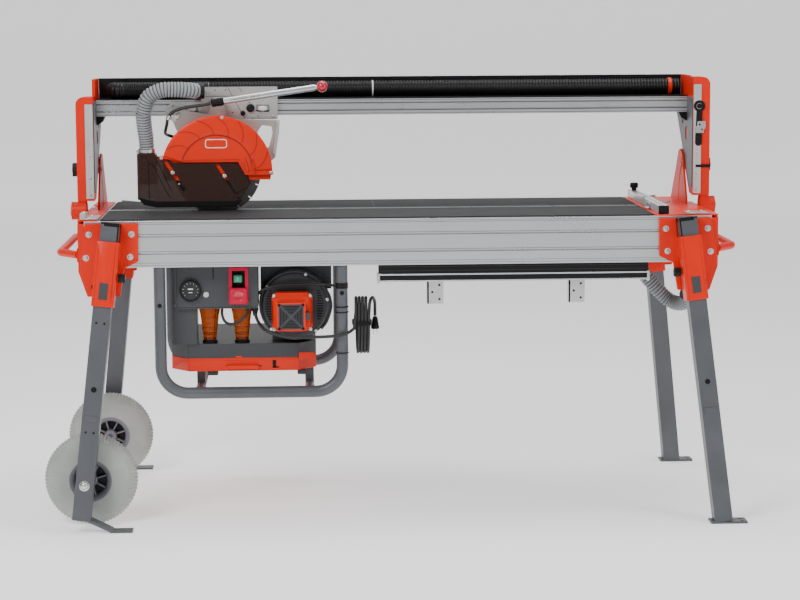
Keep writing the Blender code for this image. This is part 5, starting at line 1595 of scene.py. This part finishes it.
def build_held_cables():
    """Short cables held at both ends round the extractor, and the grey duct hose."""
    runs = {"switch_cable": [(-0.3979, -0.215, 0.63), (-0.388, -0.22, 0.64), (-0.372, -0.224, 0.648),
                             (-0.34, -0.2265, 0.6545), (-0.3, -0.228, 0.657), (-0.25, -0.232, 0.658),
                             (-0.215, -0.24, 0.6575), (-0.196, -0.25, 0.657), (-0.178, -0.268, 0.6565)],
            "motor_lead": [(-0.209, -0.23, 0.656), (-0.205, -0.233, 0.64), (-0.196, -0.233, 0.62),
                           (-0.193, -0.228, 0.59), (-0.205, -0.218, 0.55), (-0.22, -0.206, 0.528)],
            "box_loop": [(-0.5, -0.225, 0.5918), (-0.5005, -0.2262, 0.575), (-0.494, -0.229, 0.556),
                         (-0.48, -0.23, 0.547), (-0.464, -0.23, 0.548), (-0.45, -0.229, 0.556),
                         (-0.43, -0.2262, 0.575), (-0.429, -0.225, 0.5918)]}
    for name, points in runs.items():
        cable = tube(name, smooth_route(points, 0.006), 0.004, CORD, "table", 14)
    clip = tube("tube_clip", [(-0.163, -CRADLE_SIDE, 0.652), (-0.163, -CRADLE_SIDE, 0.668)], 0.0178, BLACK,
                "table", 28)
    turns = [2 * math.pi * i / 24 for i in range(25)]
    for number, z in enumerate((0.585, 0.6, 0.47)):
        circle = [Vector((-0.1635 + 0.0185 * math.cos(a), -CRADLE_SIDE + 0.0185 * math.sin(a), z))
                  for a in turns]
        ring = tube(f"cable_tie_{number}", circle, 0.0014, BLACK, "table", 8)
    tie = bmesh.new()
    for k in range(4):
        wide = 0.0262 + 0.0002 * k
        oval = []
        for i in range(41):
            a = 2 * math.pi * i / 40
            oval.append(Vector((-0.107 + wide * math.copysign(abs(math.cos(a)) ** 0.5, math.cos(a)),
                                -0.262 + 0.0345 * math.copysign(abs(math.sin(a)) ** 0.5, math.sin(a)),
                                0.548 + k * 0.003)))
        add_tube(tie, oval, 0.0016, 8, False)
    strap = piece_from("hank_tie", tie, BLACK, "table", 50)
    duct = [(0.7, 0.12, 0.69), (0.735, 0.115, 0.655), (0.79, 0.11, 0.59), (0.835, 0.1, 0.552),
            (0.866, 0.06, 0.556), (0.872, 0.02, 0.6)]
    rope("duct_hose_ribbed", duct, "table", 0.0226, GREY_HOSE, 0.0095, 0.0042, "duct_hose")
    # A dark inner tube whose colour is painted shade in the hose's valleys.
    inner = tube("duct_hose_liner", smooth_route(duct, 0.008), 0.0198, VALLEY_SHADE, "table", 24)
    mouth = Vector(duct[-1])
    lead_in = (mouth - Vector(duct[-2])).normalized()
    fitting = lathe("duct_hose_cuff", mouth - lead_in * 0.03, mouth + lead_in * 0.002,
                    [(0.019, 0.0), (0.024, 0.001), (0.024, 0.029), (0.0225, 0.032), (0.0205, 0.032),
                     (0.019, 0.006), (0.019, 0.0)], BLACK, "table", 40)


def build_side_table():
    """The stowed side support: black band, drawn rail with hooked ends and zinc hangers."""
    kept("side_table", BLACK, 0.0012)
    rail = [(-0.289, 0.668), (-0.289, 0.672), (-0.2878, 0.6728), (-0.2878, 0.686), (-0.289, 0.6868),
            (-0.289, 0.6906), (-0.2862, 0.6906), (-0.2862, 0.668)]
    bar_of("side_rail", -0.0602, 0.7002, rail, ALUMINIUM, "side")
    hooks = [((-0.064, -0.289, 0.664), (-0.056, -0.264, 0.692)),
             ((0.696, -0.289, 0.664), (0.704, -0.264, 0.692))]
    ends = boxes("side_rail_ends", hooks, ALUMINIUM, "side", 0.0012)
    lines = [((-0.058, -0.2866, z), (0.698, -0.2858, z + 0.0012)) for z in (0.6985, 0.71)]
    grooves = boxes("side_lines", lines, DARK_PRINT_AND_SHADE, "side", 0.0)
    for number, x in enumerate((0.078, 0.478)):
        corner = (x - 0.0006, -0.2626, 0.6016)
        plates = [(corner, (x + 0.005, -0.232, 0.69)), (corner, (x + 0.0456, -0.2576, 0.668))]
        angle = boxes(f"side_hanger_{number}", plates, ZINC, "side", 0.0008)
        # Dark dots on the hanger: painted shade where its holes are.
        holes = [(x + 0.034, -0.2627, z) for z in (0.615, 0.655)] + [(x + 0.014, -0.2627, 0.635)]
        dots = screws(f"side_hanger_hole_shade_{number}", holes, (0, -1, 0), 0.0036, DARK_PRINT_AND_SHADE, "side", 0.4, 0.12)


def build_extractor():
    """The dust extractor under the left half, and the side table."""
    build_underframe()
    build_control_box()
    build_cyclones()
    build_vacuum()
    build_held_cables()
    build_side_table()


place_camera()
build_stage()
build_lead()
build_table()
build_extractor()
build_head()
build_bridge()
